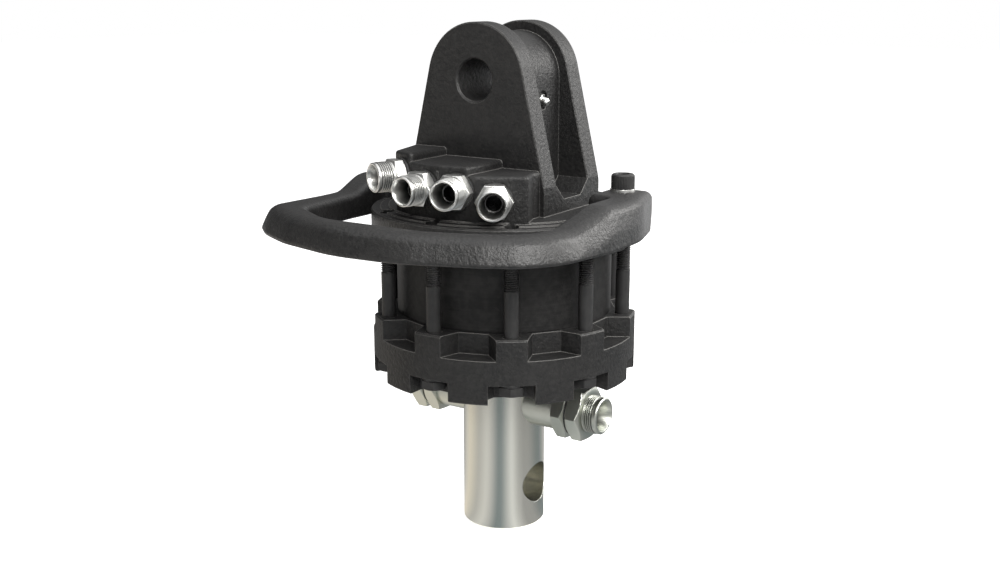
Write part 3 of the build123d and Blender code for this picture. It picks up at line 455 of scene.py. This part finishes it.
def tool_steel(new):
    """Ground steel of the inner pieces, with fine grinding lines."""
    dark, light = (0.45, 0.45, 0.46), (0.62, 0.62, 0.62)
    lines = new.noise(0.4 * MM, 2.0, 0.5, (1.0, 1.0, 0.05))
    return new.surface(
        Base_Color=new.mix(lines, dark, light),
        Metallic=1.0, Roughness=0.26 + lines * 0.14, Normal=new.bump(lines, 0.01 * MM, 0.5))


def bronze(new):
    """Bearing bronze, turned and oiled."""
    dark, light = (0.62, 0.40, 0.17), (0.74, 0.53, 0.27)
    rings = new.noise(0.5 * MM, 2.0, 0.5, (0.05, 0.05, 1.0))
    cloud = new.noise(9.0 * MM, 3.0, 0.5)
    return new.surface(
        Base_Color=new.mix(cloud, dark, light),
        Metallic=1.0, Roughness=0.28 + rings * 0.12, Normal=new.bump(rings, 0.02 * MM, 0.5))


def filled_ptfe(new):
    """Brown filled PTFE with specks."""
    brown, speck = (0.22, 0.14, 0.08), (0.30, 0.20, 0.12)
    specks = new.noise(0.6 * MM, 1.0, 0.5)
    return new.surface(
        Base_Color=new.mix(new.ramp(specks, (0.45, 0.0), (0.6, 1.0)), brown, speck),
        Roughness=0.5 + specks * 0.15, Normal=new.bump(specks, 0.03 * MM, 0.4))


def seal_rubber(new):
    """Matt black rubber with a dusty bloom."""
    black, dusty = (0.012, 0.012, 0.012), (0.04, 0.04, 0.04)
    bloom = new.noise(4.0 * MM, 3.0, 0.6)
    grain = new.noise(0.5 * MM, 1.0, 0.5)
    return new.surface(
        Base_Color=new.mix(bloom * 0.6, black, dusty),
        Roughness=0.55 + bloom * 0.15, Normal=new.bump(grain, 0.04 * MM, 0.5))


RECIPES = {recipe.__name__: recipe for recipe in (
    cast_paint, guard_paint, turned_paint, black_screw, bright_zinc, pale_zinc, shaft_steel, tool_steel, bronze,
    filled_ptfe, seal_rubber)}


def dress(node, name):
    """Give a solid of the frame its finish."""
    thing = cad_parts[node]
    if not thing.material_slots:
        thing.data.materials.append(None)
    for slot in thing.material_slots:
        slot.material = finish(name)


def limited(value, low=0.0, high=1.0):
    """A value kept between two limits."""
    return min(max(value, low), high)


def seat(origin, out):
    """Matrix of a seat: X sideways, Y up, Z outwards."""
    out = Vector(out).normalized()
    up = Vector((0.0, 0.0, 1.0)) if abs(out.z) < 0.9 else Vector((0.0, 1.0, 0.0))
    side = up.cross(out).normalized()
    place = Matrix((side, out.cross(side), out)).transposed().to_4x4()
    place.translation = Vector(origin)
    return place


def polar(radius, angle_deg, z):
    """Point at a radius and an angle from the front towards +X."""
    angle = math.radians(angle_deg)
    return Vector((radius * math.sin(angle), -radius * math.cos(angle), z))


def six_sided(across, limit):
    """Radius of a hexagon at an angle, cut by a cone's radius."""
    def radius(angle):
        return min(across / 2 / math.cos(angle % math.radians(60.0) - math.radians(30.0)), limit)
    return radius


def hexagon_loops(across, low, high, bevel_high=True):
    """Loops of a hexagon with its corners cut back by a cone at its foot, and at its top unless that is flat."""
    flat = across / 2 * HEX_LAND
    drop = (across / math.sqrt(3.0) - flat) * HEX_SLOPE
    cone = [(drop * step / HEX_STEPS, six_sided(across, flat + drop * step / HEX_STEPS / HEX_SLOPE))
            for step in range(HEX_STEPS + 1)]
    top = reversed(cone) if bevel_high else [(0.0, six_sided(across, across))]
    return [(low + depth, radius) for depth, radius in cone] + [(high - depth, radius) for depth, radius in top]


def painted_shade_layer(shape):
    """The shape's layer that says how much shade is painted at a corner, from 0 to 1."""
    return shape.verts.layers.float.get("nook") or shape.verts.layers.float.new("nook")


def lathe(shape, place, loops, sectors=96):
    """Skin through loops of (height, radius or rule, painted shade from 0 to 1), closed at both ends."""
    rows = []
    depth = painted_shade_layer(shape)
    for height, radius, *nook in loops:
        row = []
        for step in range(sectors):
            angle = 2 * math.pi * step / sectors
            r = radius(angle) if callable(radius) else radius
            row.append(shape.verts.new(place @ Vector((r * math.cos(angle), r * math.sin(angle), height))))
            row[-1][depth] = nook[0] if nook else 0.0
        rows.append(row)
    for low, high in zip(rows, rows[1:]):
        for step in range(sectors):
            after = (step + 1) % sectors
            shape.faces.new((low[step], low[after], high[after], high[step]))
    shape.faces.new(reversed(rows[0]))
    shape.faces.new(rows[-1])


def wind(shape, place, start, end, core, crest, pitch, sectors=72):
    """Helical turns between two heights, which run out to the core at both ends."""
    rows = []
    depth = painted_shade_layer(shape)
    for turn in range(-1, math.ceil((end - start) / pitch) + 1):
        for part, rise in THREAD_PROFILE:
            row = []
            for step in range(sectors + 1):
                angle = 2 * math.pi * step / sectors
                height = start + (turn + part + step / sectors) * pitch
                height = limited(height, start, end)
                fade = limited(min(height - start, end - height) / (THREAD_RUN_OUT * pitch))
                r = core + (crest - core) * rise * fade
                row.append(shape.verts.new(place @ Vector((r * math.cos(angle), r * math.sin(angle), height))))
                # Shade painted into the thread's root
                row[-1][depth] = THREAD_ROOT_SHADE * (1.0 - rise)
            rows.append(row)
    for low, high in zip(rows, rows[1:]):
        for step in range(sectors):
            corners = (low[step], low[step + 1], high[step + 1], high[step])
            if len({tuple(round(c, 7) for c in v.co) for v in corners}) > 2:
                shape.faces.new(corners)


def piece(name, shape, finish_name, body, nodes, sharp=32.0):
    """Turn a shape into a piece that stands for its nodes and rides on a body."""
    bmesh.ops.remove_doubles(shape, verts=shape.verts, dist=WELD)
    bmesh.ops.recalc_face_normals(shape, faces=shape.faces)
    mesh = bpy.data.meshes.new(name)
    shape.to_mesh(mesh)
    shape.free()
    mesh.shade_smooth()
    mesh.set_sharp_from_angle(angle=math.radians(sharp))
    mesh.materials.append(finish(finish_name))
    made = bpy.data.objects.new(name, mesh)
    bpy.context.scene.collection.objects.link(made)
    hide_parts(*nodes)
    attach(made, body)
    return made


def rounded(bends, steps=8):
    """Points of a line through (across, along, radius) bends, with its bends rounded."""
    line = [Vector(bends[0][:2])]
    for before, bend, after in zip(bends, bends[1:], bends[2:]):
        corner = Vector(bend[:2])
        back = (Vector(before[:2]) - corner).normalized()
        ahead = (Vector(after[:2]) - corner).normalized()
        reach = bend[2] / math.tan(back.angle(ahead) / 2)
        start, end = corner + back * reach, corner + ahead * reach
        for step in range(steps + 1):
            part = step / steps
            line.append(start.lerp(corner, part).lerp(corner.lerp(end, part), part))
    line.append(Vector(bends[-1][:2]))
    return line


def nearest(line, normals, point):
    """Distance inside a line and the line's inward direction there."""
    best = None
    for start, end, first, last in zip(line, line[1:], normals, normals[1:]):
        run = end - start
        part = limited((point - start).dot(run) / max(run.length_squared, TINY))
        off = point - start.lerp(end, part)
        if best is None or off.length < abs(best[0]):
            inward = first.lerp(last, part).normalized()
            best = (math.copysign(off.length, off.dot(inward)), inward)
    return best


def height_at(profile, along):
    """Height of a profile of (along, height) points."""
    for start, end in zip(profile, profile[1:]):
        if start.x <= along <= end.x:
            return start.y + (end.y - start.y) * (along - start.x) / max(end.x - start.x, TINY)
    return profile[-1].y


class ROTATOR_OT_castings(bpy.types.Operator):
    """Paint the housing, the drum and the bottom cover"""
    bl_idname = "rotator.castings"
    bl_label = "Paint the castings"

    def execute(self, context):
        for node, name in (("upper_housing", "cast_paint"), ("bottom_cover", "cast_paint"),
                           ("stator_ring", "turned_paint")):
            dress(node, name)
        return {"FINISHED"}


class ROTATOR_OT_guard(bpy.types.Operator):
    """Build the hose guard, whose outer face leans back and rounds into its top"""
    bl_idname = "rotator.guard"
    bl_label = "Hose guard"

    def execute(self, context):
        sizes = context.scene.rotator_guard
        lean, crown, spread, depth = (value / MM for value in (sizes.lean, sizes.crown, sizes.spread, sizes.depth))
        low, high = (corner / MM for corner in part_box("hose_guard"))
        line = rounded(GUARD_BENDS)
        runs = [(start, end) for start, end in zip(line, line[1:]) if (end - start).length > WELD]
        line = [line[0]] + [end for start, end in runs]
        sides = [Vector((start.y - end.y, end.x - start.x)).normalized() for start, end in runs]
        normals = [sides[0]] + [(a + b).normalized() for a, b in zip(sides, sides[1:])] + [sides[-1]]
        tops = {side: rounded(bends) for side, bends in GUARD_TOPS.items()}

        shape = bmesh.new()
        shape.from_mesh(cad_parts["hose_guard"].data)
        bmesh.ops.remove_doubles(shape, verts=shape.verts, dist=WELD)
        for axis, places in GUARD_CUTS:
            cut = Vector((0.0, 0.0, 0.0))
            cut[axis] = 1.0
            for place in places:
                bmesh.ops.bisect_plane(shape, geom=shape.verts[:] + shape.edges[:] + shape.faces[:],
                                       plane_co=cut * place * MM, plane_no=cut, dist=WELD / 10)
        for corner in shape.verts:
            x, y, z = corner.co / MM
            inside, inward = nearest(line, normals, Vector((x, y)))
            if inside > FACE_REACH:
                continue
            top = height_at(tops["right" if x > 0 else "left"], y)
            rise = limited(1.0 - (top - z) / depth)
            inset = lean * rise + crown * (1.0 - math.sqrt(1.0 - rise * rise))
            inset -= spread * (1.0 - rise) * limited((CORNER_START - x) / CORNER_FADE)
            hold = min(1.0, (FACE_REACH - inside) / FACE_FADE)
            hold *= LUG_SHARE + (1.0 - LUG_SHARE) * limited((ARM_START - y) / ARM_FADE)
            x = limited(x + inward.x * inset * hold, low.x, high.x)
            y = max(y + inward.y * inset * hold, low.y)
            corner.co = Vector((x, y, z)) * MM
        made = piece("guard_casting", shape, "guard_paint", "housing", ["hose_guard"])
        made.modifiers.new("even_faces", "WEIGHTED_NORMAL").keep_sharp = True
        return {"FINISHED"}


class ROTATOR_OT_port_fittings(bpy.types.Operator):
    """Build the four upper hose fittings, each with its hexagon, thread, collar and mouth"""
    bl_idname = "rotator.port_fittings"
    bl_label = "Upper hose fittings"

    def execute(self, context):
        sizes = context.scene.rotator_fittings
        foot, middle, hex_low, hex_high, tip = -12.0 * MM, 2.0 * MM, 1.5 * MM, 9.5 * MM, 22.0 * MM
        spigot, bore, mouth = 9.3 * MM, 5.5 * MM, 8.6 * MM
        thread = sizes.thread / 2
        core = thread - THREAD_DEPTH * sizes.pitch
        root = core - CORE_GAP
        collar, collar_r = tip - sizes.collar, thread - 0.3 * MM
        throat, throat_r = tip - 12.0 * MM, bore - 0.4 * MM
        # From the lower bore over the outside into the mouth; both bores end blind at the middle
        # A third value in a loop is the shade painted there, from 0 to 1
        loops = [(middle, bore, 1.0), (foot, bore, 1.0), (foot, spigot), (hex_low, spigot)]
        loops += hexagon_loops(sizes.hexagon, hex_low, hex_high)
        loops += [(hex_high, thread - 0.2 * MM), (hex_high + 0.5 * MM, collar_r), (hex_high + 0.9 * MM, root),
                  (collar, root), (collar, thread - 0.55 * MM), (collar + 0.3 * MM, collar_r),
                  (tip - 0.7 * MM, collar_r), (tip - 0.15 * MM, thread - 0.85 * MM), (tip, thread - 1.05 * MM),
                  (tip, mouth + 0.15 * MM), (tip - 0.25 * MM, mouth - 0.1 * MM, 0.05),
                  (tip - 2.7 * MM, mouth - 0.9 * MM, 0.20), (throat, bore + 0.3 * MM, 0.88),
                  (throat - 0.1 * MM, throat_r, 1.0), (middle, throat_r, 1.0)]
        for number, (angle, z) in enumerate(PORT_SEATS, start=1):
            place = seat(polar(PORT_BLOCK_R, angle, z * MM), polar(1.0, angle, 0.0))
            shape = bmesh.new()
            lathe(shape, place, loops)
            wind(shape, place, hex_high + 0.8 * MM, collar, core, thread, sizes.pitch)
            piece(f"upper_fitting_{number}", shape, "bright_zinc", "housing",
                  [f"port_fitting_{number}"])
            dress(f"port_seal_{number}", "seal_rubber")
        dress("grease_nipple", "bright_zinc")
        return {"FINISHED"}


class ROTATOR_OT_through_bolts(bpy.types.Operator):
    """Build the long bolts with their heads and threads"""
    bl_idname = "rotator.through_bolts"
    bl_label = "Long bolts"

    def execute(self, context):
        sizes = context.scene.rotator_screws
        foot, end = BOLT_BOX[0][2], BOLT_BOX[1][2]
        head_top = foot + sizes.head_height
        hex_top = head_top - 0.35 * MM
        radius = sizes.bolt / 2
        core = radius - THREAD_DEPTH * sizes.pitch
        root = core - CORE_GAP
        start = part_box("upper_housing")[0][2] - sizes.thread_start
        # From the dished head, which points down, over its round washer face and the shank to the end of the thread
        loops = [(foot + 0.5 * MM, sizes.head * 0.26), (foot, sizes.head * 0.36)]
        loops += hexagon_loops(sizes.head, foot, hex_top, bevel_high=False)
        loops += [(hex_top, sizes.head * 0.47), (head_top, sizes.head * 0.47), (head_top, radius + 0.4 * MM),
                  (head_top + 0.4 * MM, radius), (start, radius), (start + 0.4 * MM, root),
                  (end - 1.2 * MM, root), (end, core - 0.6 * MM)]
        shape = bmesh.new()
        for number in range(sizes.bolts):
            place = seat(polar(sizes.circle, 360.0 * number / sizes.bolts, 0.0), (0.0, 0.0, 1.0))
            lathe(shape, place, loops, 48)
            wind(shape, place, start, end - 0.2 * MM, core, radius, sizes.pitch, 32)
        piece("long_bolts", shape, "black_screw", "housing", ["through_bolts"])
        dress("bolt_washers", "black_screw")
        return {"FINISHED"}


class ROTATOR_OT_guard_screws(bpy.types.Operator):
    """Build the guard's socket head screws with their knurled heads"""
    bl_idname = "rotator.guard_screws"
    bl_label = "Guard screws"

    def execute(self, context):
        sizes = context.scene.rotator_screws
        low, high = SCREW_BOX
        foot, top = low[2], high[2]
        middle_y = (high[1] + low[1]) / 2
        head = (high[1] - low[1]) / 2
        rim = head - 0.15 * MM
        shank = head * 0.625
        socket, socket_floor = sizes.socket / 2, top - sizes.socket_depth
        flats = six_sided(sizes.socket, sizes.socket)
        knurl_depth = 0.42 * MM

        def knurl(angle):
            """Radius of the head at an angle, with a groove between any two ridges."""
            wave = abs((angle / (2 * math.pi) * sizes.knurls) % 1.0 - 0.5) * 2
            return head - knurl_depth * max(0.0, 1 - 2 * wave)

        # From the end of the shank over the knurled head into the socket
        loops = [(foot, shank - 1.0 * MM), (foot + 1.0 * MM, shank), (SCREW_SEAT, shank),
                 (SCREW_SEAT, head - 0.5 * MM), (SCREW_SEAT + 0.4 * MM, head - 0.1 * MM),
                 (SCREW_SEAT + 0.9 * MM, knurl), (top - 1.9 * MM, knurl), (top - 1.3 * MM, rim),
                 (top - 0.9 * MM, rim), (top - 0.25 * MM, head - 0.8 * MM), (top, head - 1.2 * MM),
                 (top, socket * 1.18), (top - 0.35 * MM, socket * 1.155), (top - 0.7 * MM, flats),
                 (socket_floor, flats), (socket_floor - 0.2 * MM, socket * 0.7),
                 (socket_floor - 1.2 * MM, socket * 0.1)]
        shape = bmesh.new()
        for x in (high[0] - head, low[0] + head):
            lathe(shape, seat((x, middle_y, 0.0), (0.0, 0.0, 1.0)), loops, sizes.knurls * 6)
        piece("guard_socket_screws", shape, "black_screw", "housing", ["guard_screws"], 28.0)
        dress("guard_washers", "bright_zinc")
        return {"FINISHED"}


class ROTATOR_OT_shaft(bpy.types.Operator):
    """Finish the shaft"""
    bl_idname = "rotator.shaft"
    bl_label = "Shaft"

    def execute(self, context):
        dress("rotor_shaft", "shaft_steel")
        return {"FINISHED"}


class ROTATOR_OT_lower_fittings(bpy.types.Operator):
    """Build the two hose fittings on the shaft"""
    bl_idname = "rotator.lower_fittings"
    bl_label = "Lower hose fittings"

    def execute(self, context):
        sizes = context.scene.rotator_fittings
        thread = sizes.lower_thread / 2
        core = thread - THREAD_DEPTH * sizes.pitch
        root = core - CORE_GAP
        collar_r = thread - 0.35 * MM
        bore, mouth = 6.5 * MM, 11.0 * MM
        spigot = bore + 2.5 * MM
        for side, sign in (("right", 1.0), ("left", -1.0)):
            low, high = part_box(f"lower_fitting_{side}")
            foot, tip = sorted((abs(low[0]), abs(high[0])))
            hex_low = max(abs(corner[0]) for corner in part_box(f"lower_seal_{side}"))
            hex_high = hex_low + 11.0 * MM
            collar = tip - sizes.lower_collar
            # From the spigot's bore over the outside into the mouth
            # A third value in a loop is the shade painted there, from 0 to 1
            loops = [(foot + 2 * MM, bore), (foot, bore), (foot, spigot), (hex_low, spigot)]
            loops += hexagon_loops(sizes.lower_hexagon, hex_low, hex_high)
            loops += [(hex_high, thread - 0.2 * MM), (hex_high + 0.6 * MM, root), (collar, root),
                      (collar, thread - 0.7 * MM), (collar + 0.4 * MM, collar_r), (tip - 0.8 * MM, collar_r),
                      (tip - 0.2 * MM, thread - 0.9 * MM), (tip, thread - 1.2 * MM), (tip, mouth + 0.15 * MM),
                      (tip - 0.3 * MM, mouth - 0.1 * MM), (tip - 3.0 * MM, mouth - 1.2 * MM, 0.2),
                      (tip - 12.0 * MM, bore, 0.7), (tip - 16.0 * MM, bore, 1.0)]
            place = seat((0.0, 0.0, (low[2] + high[2]) / 2), (sign, 0.0, 0.0))
            shape = bmesh.new()
            lathe(shape, place, loops)
            wind(shape, place, hex_high + 0.4 * MM, collar, core, thread, sizes.pitch)
            piece(f"shaft_fitting_{side}", shape, "pale_zinc", "rotor", [f"lower_fitting_{side}"])
            dress(f"lower_extension_{side}", "pale_zinc")
            dress(f"lower_seal_{side}", "seal_rubber")
        return {"FINISHED"}


class ROTATOR_OT_inner_pieces(bpy.types.Operator):
    """Finish the pieces inside the drum and the covers"""
    bl_idname = "rotator.inner_pieces"
    bl_label = "Inner pieces"

    def execute(self, context):
        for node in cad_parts:
            if node.startswith("vane") or node in ("gallery_plugs", "locating_pins"):
                dress(node, "tool_steel")
            elif "bush" in node or "thrust" in node:
                dress(node, "bronze")
            elif node.startswith("swivel_seal"):
                dress(node, "filled_ptfe")
            elif "oring" in node or node in ("shaft_seal", "wiper_ring"):
                dress(node, "seal_rubber")
        return {"FINISHED"}


def share_of_turn(angle_deg):
    """An angle from the front as the share of a turn that Finish.azimuth gives."""
    return (angle_deg + 180.0) / 360.0


def sheet(name, corners, faces, reflections_only=False):
    """Lay a flat piece of the studio and give back its new finish."""
    mesh = bpy.data.meshes.new(name)
    mesh.from_pydata(corners, [], faces)
    made = bpy.data.objects.new(name, mesh)
    bpy.context.scene.collection.objects.link(made)
    if reflections_only:
        made.visible_camera = False
        made.visible_diffuse = False
        made.visible_shadow = False
    new = Finish(bpy.data.materials.new(name))
    mesh.materials.append(new.owner)
    return new


def lay_sky(look):
    """World that is white to the camera and in reflections, and a softer even light on the part."""
    world = bpy.data.worlds.new("studio")
    bpy.context.scene.world = world
    new = Finish(world)
    light = new.node("ShaderNodeBackground", {}, {
        "Color": (1.0, 1.0, 1.0), "Strength": new.seen() * (1.0 - look.sky) + look.sky})
    new.node("ShaderNodeOutputWorld", {}, {"Surface": light})


def lay_floor(look, height):
    """Pale matt floor, lifted towards white where the camera sees it, so that it keeps the shadow."""
    corners = [(x * FLOOR_REACH, y * FLOOR_REACH, height) for x, y in ((-1, -1), (1, -1), (1, 1), (-1, 1))]
    new = sheet("studio_floor", corners, [(0, 1, 2, 3)])
    matt = new.node("ShaderNodeBsdfDiffuse", {}, {"Color": tuple(look.floor)})
    glow = new.node("ShaderNodeEmission", {}, {"Color": (1.0, 1.0, 1.0), "Strength": new.seen() * look.glow})
    both = new.node("ShaderNodeAddShader", {}, {0: matt, 1: glow})
    new.node("ShaderNodeOutputMaterial", {}, {"Surface": both})


def lay_card(look, height):
    """Ring on the floor whose tones the bright metal reflects."""
    corners = [polar(radius, 360.0 * step / CARD_SIDES, height)
               for radius in (CARD_INNER, CARD_OUTER) for step in range(CARD_SIDES)]
    new = sheet("reflection_card", corners, [
        (step, (step + 1) % CARD_SIDES, CARD_SIDES + (step + 1) % CARD_SIDES, CARD_SIDES + step)
        for step in range(CARD_SIDES)], reflections_only=True)
    stops = []
    for angle, grey, warmth in CARD_TONES:
        tint = CARD_WARM if warmth > 0 else CARD_COOL
        stops.append((share_of_turn(angle), [grey * (1 + (part - 1) * abs(warmth)) for part in tint]))
    tone = new.node("ShaderNodeValToRGB", {"stops": stops}, {"Fac": new.azimuth()})
    away = new.node("ShaderNodeVectorMath", {"operation": "LENGTH"}, {0: new.here()}, "Value") / CARD_OUTER
    near = look.card_near / look.card_far
    level = new.ramp(away, (CARD_FOOT, 1.0 / look.card_far), (CARD_DIM, near), (CARD_DIM_END, near),
                     (CARD_FULL, 1.0)) * look.card_far
    glow = new.node("ShaderNodeEmission", {}, {"Color": tone, "Strength": level})
    new.node("ShaderNodeOutputMaterial", {}, {"Surface": glow})


def stand_screen(height):
    """Dark upright screen that the black paint reflects, open behind the part."""
    corners = [polar(SCREEN_RADIUS, turn, height + rise)
               for rise in (SCREEN_FOOT, SCREEN_TOP) for turn in SCREEN_TURNS]
    wide = len(SCREEN_TURNS)
    new = sheet("dark_screen", corners, [(i, i + 1, wide + i + 1, wide + i) for i in range(wide - 1)],
                reflections_only=True)
    tone = new.ramp(new.azimuth(), *[(share_of_turn(angle), grey) for angle, grey in SCREEN_TONES])
    glow = new.node("ShaderNodeEmission", {}, {"Color": tone, "Strength": 1.0})
    new.node("ShaderNodeOutputMaterial", {}, {"Surface": glow})


def hang_lamp(name, place, spot, extent, colour, power):
    """Rectangular lamp that points at a spot, its power in watts."""
    lamp = bpy.data.lights.new(name, "AREA")
    lamp.shape = "RECTANGLE"
    lamp.size, lamp.size_y = extent
    lamp.energy = power
    lamp.color = colour
    holder = bpy.data.objects.new(name, lamp)
    holder.location = place
    holder.rotation_euler = (Vector(spot) - Vector(place)).to_track_quat("-Z", "Y").to_euler()
    bpy.context.scene.collection.objects.link(holder)


def set_camera(look):
    """Camera that looks at the part from the photo's side."""
    lens = bpy.data.cameras.new("camera")
    lens.lens = look.lens
    lens.sensor_width = 36.0
    lens.clip_start = 10.0 * MM
    camera = bpy.data.objects.new("camera", lens)
    camera.location = CAMERA_PLACE
    camera.rotation_euler = Euler((math.radians(90.0 - CAMERA_TILT), 0.0, math.radians(CAMERA_TURN)))
    bpy.context.scene.collection.objects.link(camera)
    bpy.context.scene.camera = camera


class ROTATOR_OT_stage(bpy.types.Operator):
    """Set up the sky, the floor, the reflection card, the screen, the lamps and the camera"""
    bl_idname = "rotator.stage"
    bl_label = "Studio"

    def execute(self, context):
        look = context.scene.rotator_stage
        floor_z = SHAFT_END - FLOOR_GAP
        context.scene.view_settings.view_transform = "Standard"
        lay_sky(look)
        lay_floor(look, floor_z)
        lay_card(look, floor_z + CARD_GAP)
        stand_screen(floor_z)
        for name, place, spot, extent, colour in LAMPS:
            hang_lamp(f"{name}_lamp", place, spot, extent, colour, getattr(look, name))
        set_camera(look)
        return {"FINISHED"}


class ROTATOR_PT_panel(bpy.types.Panel):
    """Lists the rotator's operators and sizes"""
    bl_idname = "ROTATOR_PT_panel"
    bl_label = "Grapple rotator"
    bl_space_type = "VIEW_3D"
    bl_region_type = "UI"
    bl_category = "Rotator"

    def draw(self, context):
        for operator in OPERATORS:
            self.layout.operator(operator.bl_idname)
        for group in GROUPS:
            box = self.layout.box()
            box.label(text=GROUPS[group].__doc__)
            values = getattr(context.scene, group)
            for name in GROUPS[group].__annotations__:
                box.prop(values, name)


GROUPS = {"rotator_paint": RotatorPaint, "rotator_guard": RotatorGuard, "rotator_metal": RotatorMetal,
          "rotator_fittings": RotatorFittings, "rotator_screws": RotatorScrews, "rotator_stage": RotatorStage}
OPERATORS = (ROTATOR_OT_castings, ROTATOR_OT_guard, ROTATOR_OT_port_fittings, ROTATOR_OT_through_bolts,
             ROTATOR_OT_guard_screws, ROTATOR_OT_shaft, ROTATOR_OT_lower_fittings, ROTATOR_OT_inner_pieces,
             ROTATOR_OT_stage)


def register():
    """Make the groups, operators and panel known to Blender."""
    for name, group in GROUPS.items():
        bpy.utils.register_class(group)
        setattr(bpy.types.Scene, name, PointerProperty(type=group))
    for operator in OPERATORS:
        bpy.utils.register_class(operator)
    bpy.utils.register_class(ROTATOR_PT_panel)


def unregister():
    """Take them out again."""
    bpy.utils.unregister_class(ROTATOR_PT_panel)
    for operator in reversed(OPERATORS):
        bpy.utils.unregister_class(operator)
    for name, group in GROUPS.items():
        delattr(bpy.types.Scene, name)
        bpy.utils.unregister_class(group)


def main():
    """Dress the rotator and set up its studio."""
    register()
    bpy.ops.rotator.castings()
    bpy.ops.rotator.guard()
    bpy.ops.rotator.port_fittings()
    bpy.ops.rotator.through_bolts()
    bpy.ops.rotator.guard_screws()
    bpy.ops.rotator.shaft()
    bpy.ops.rotator.lower_fittings()
    bpy.ops.rotator.inner_pieces()
    bpy.ops.rotator.stage()


if __name__ == "__main__":
    main()
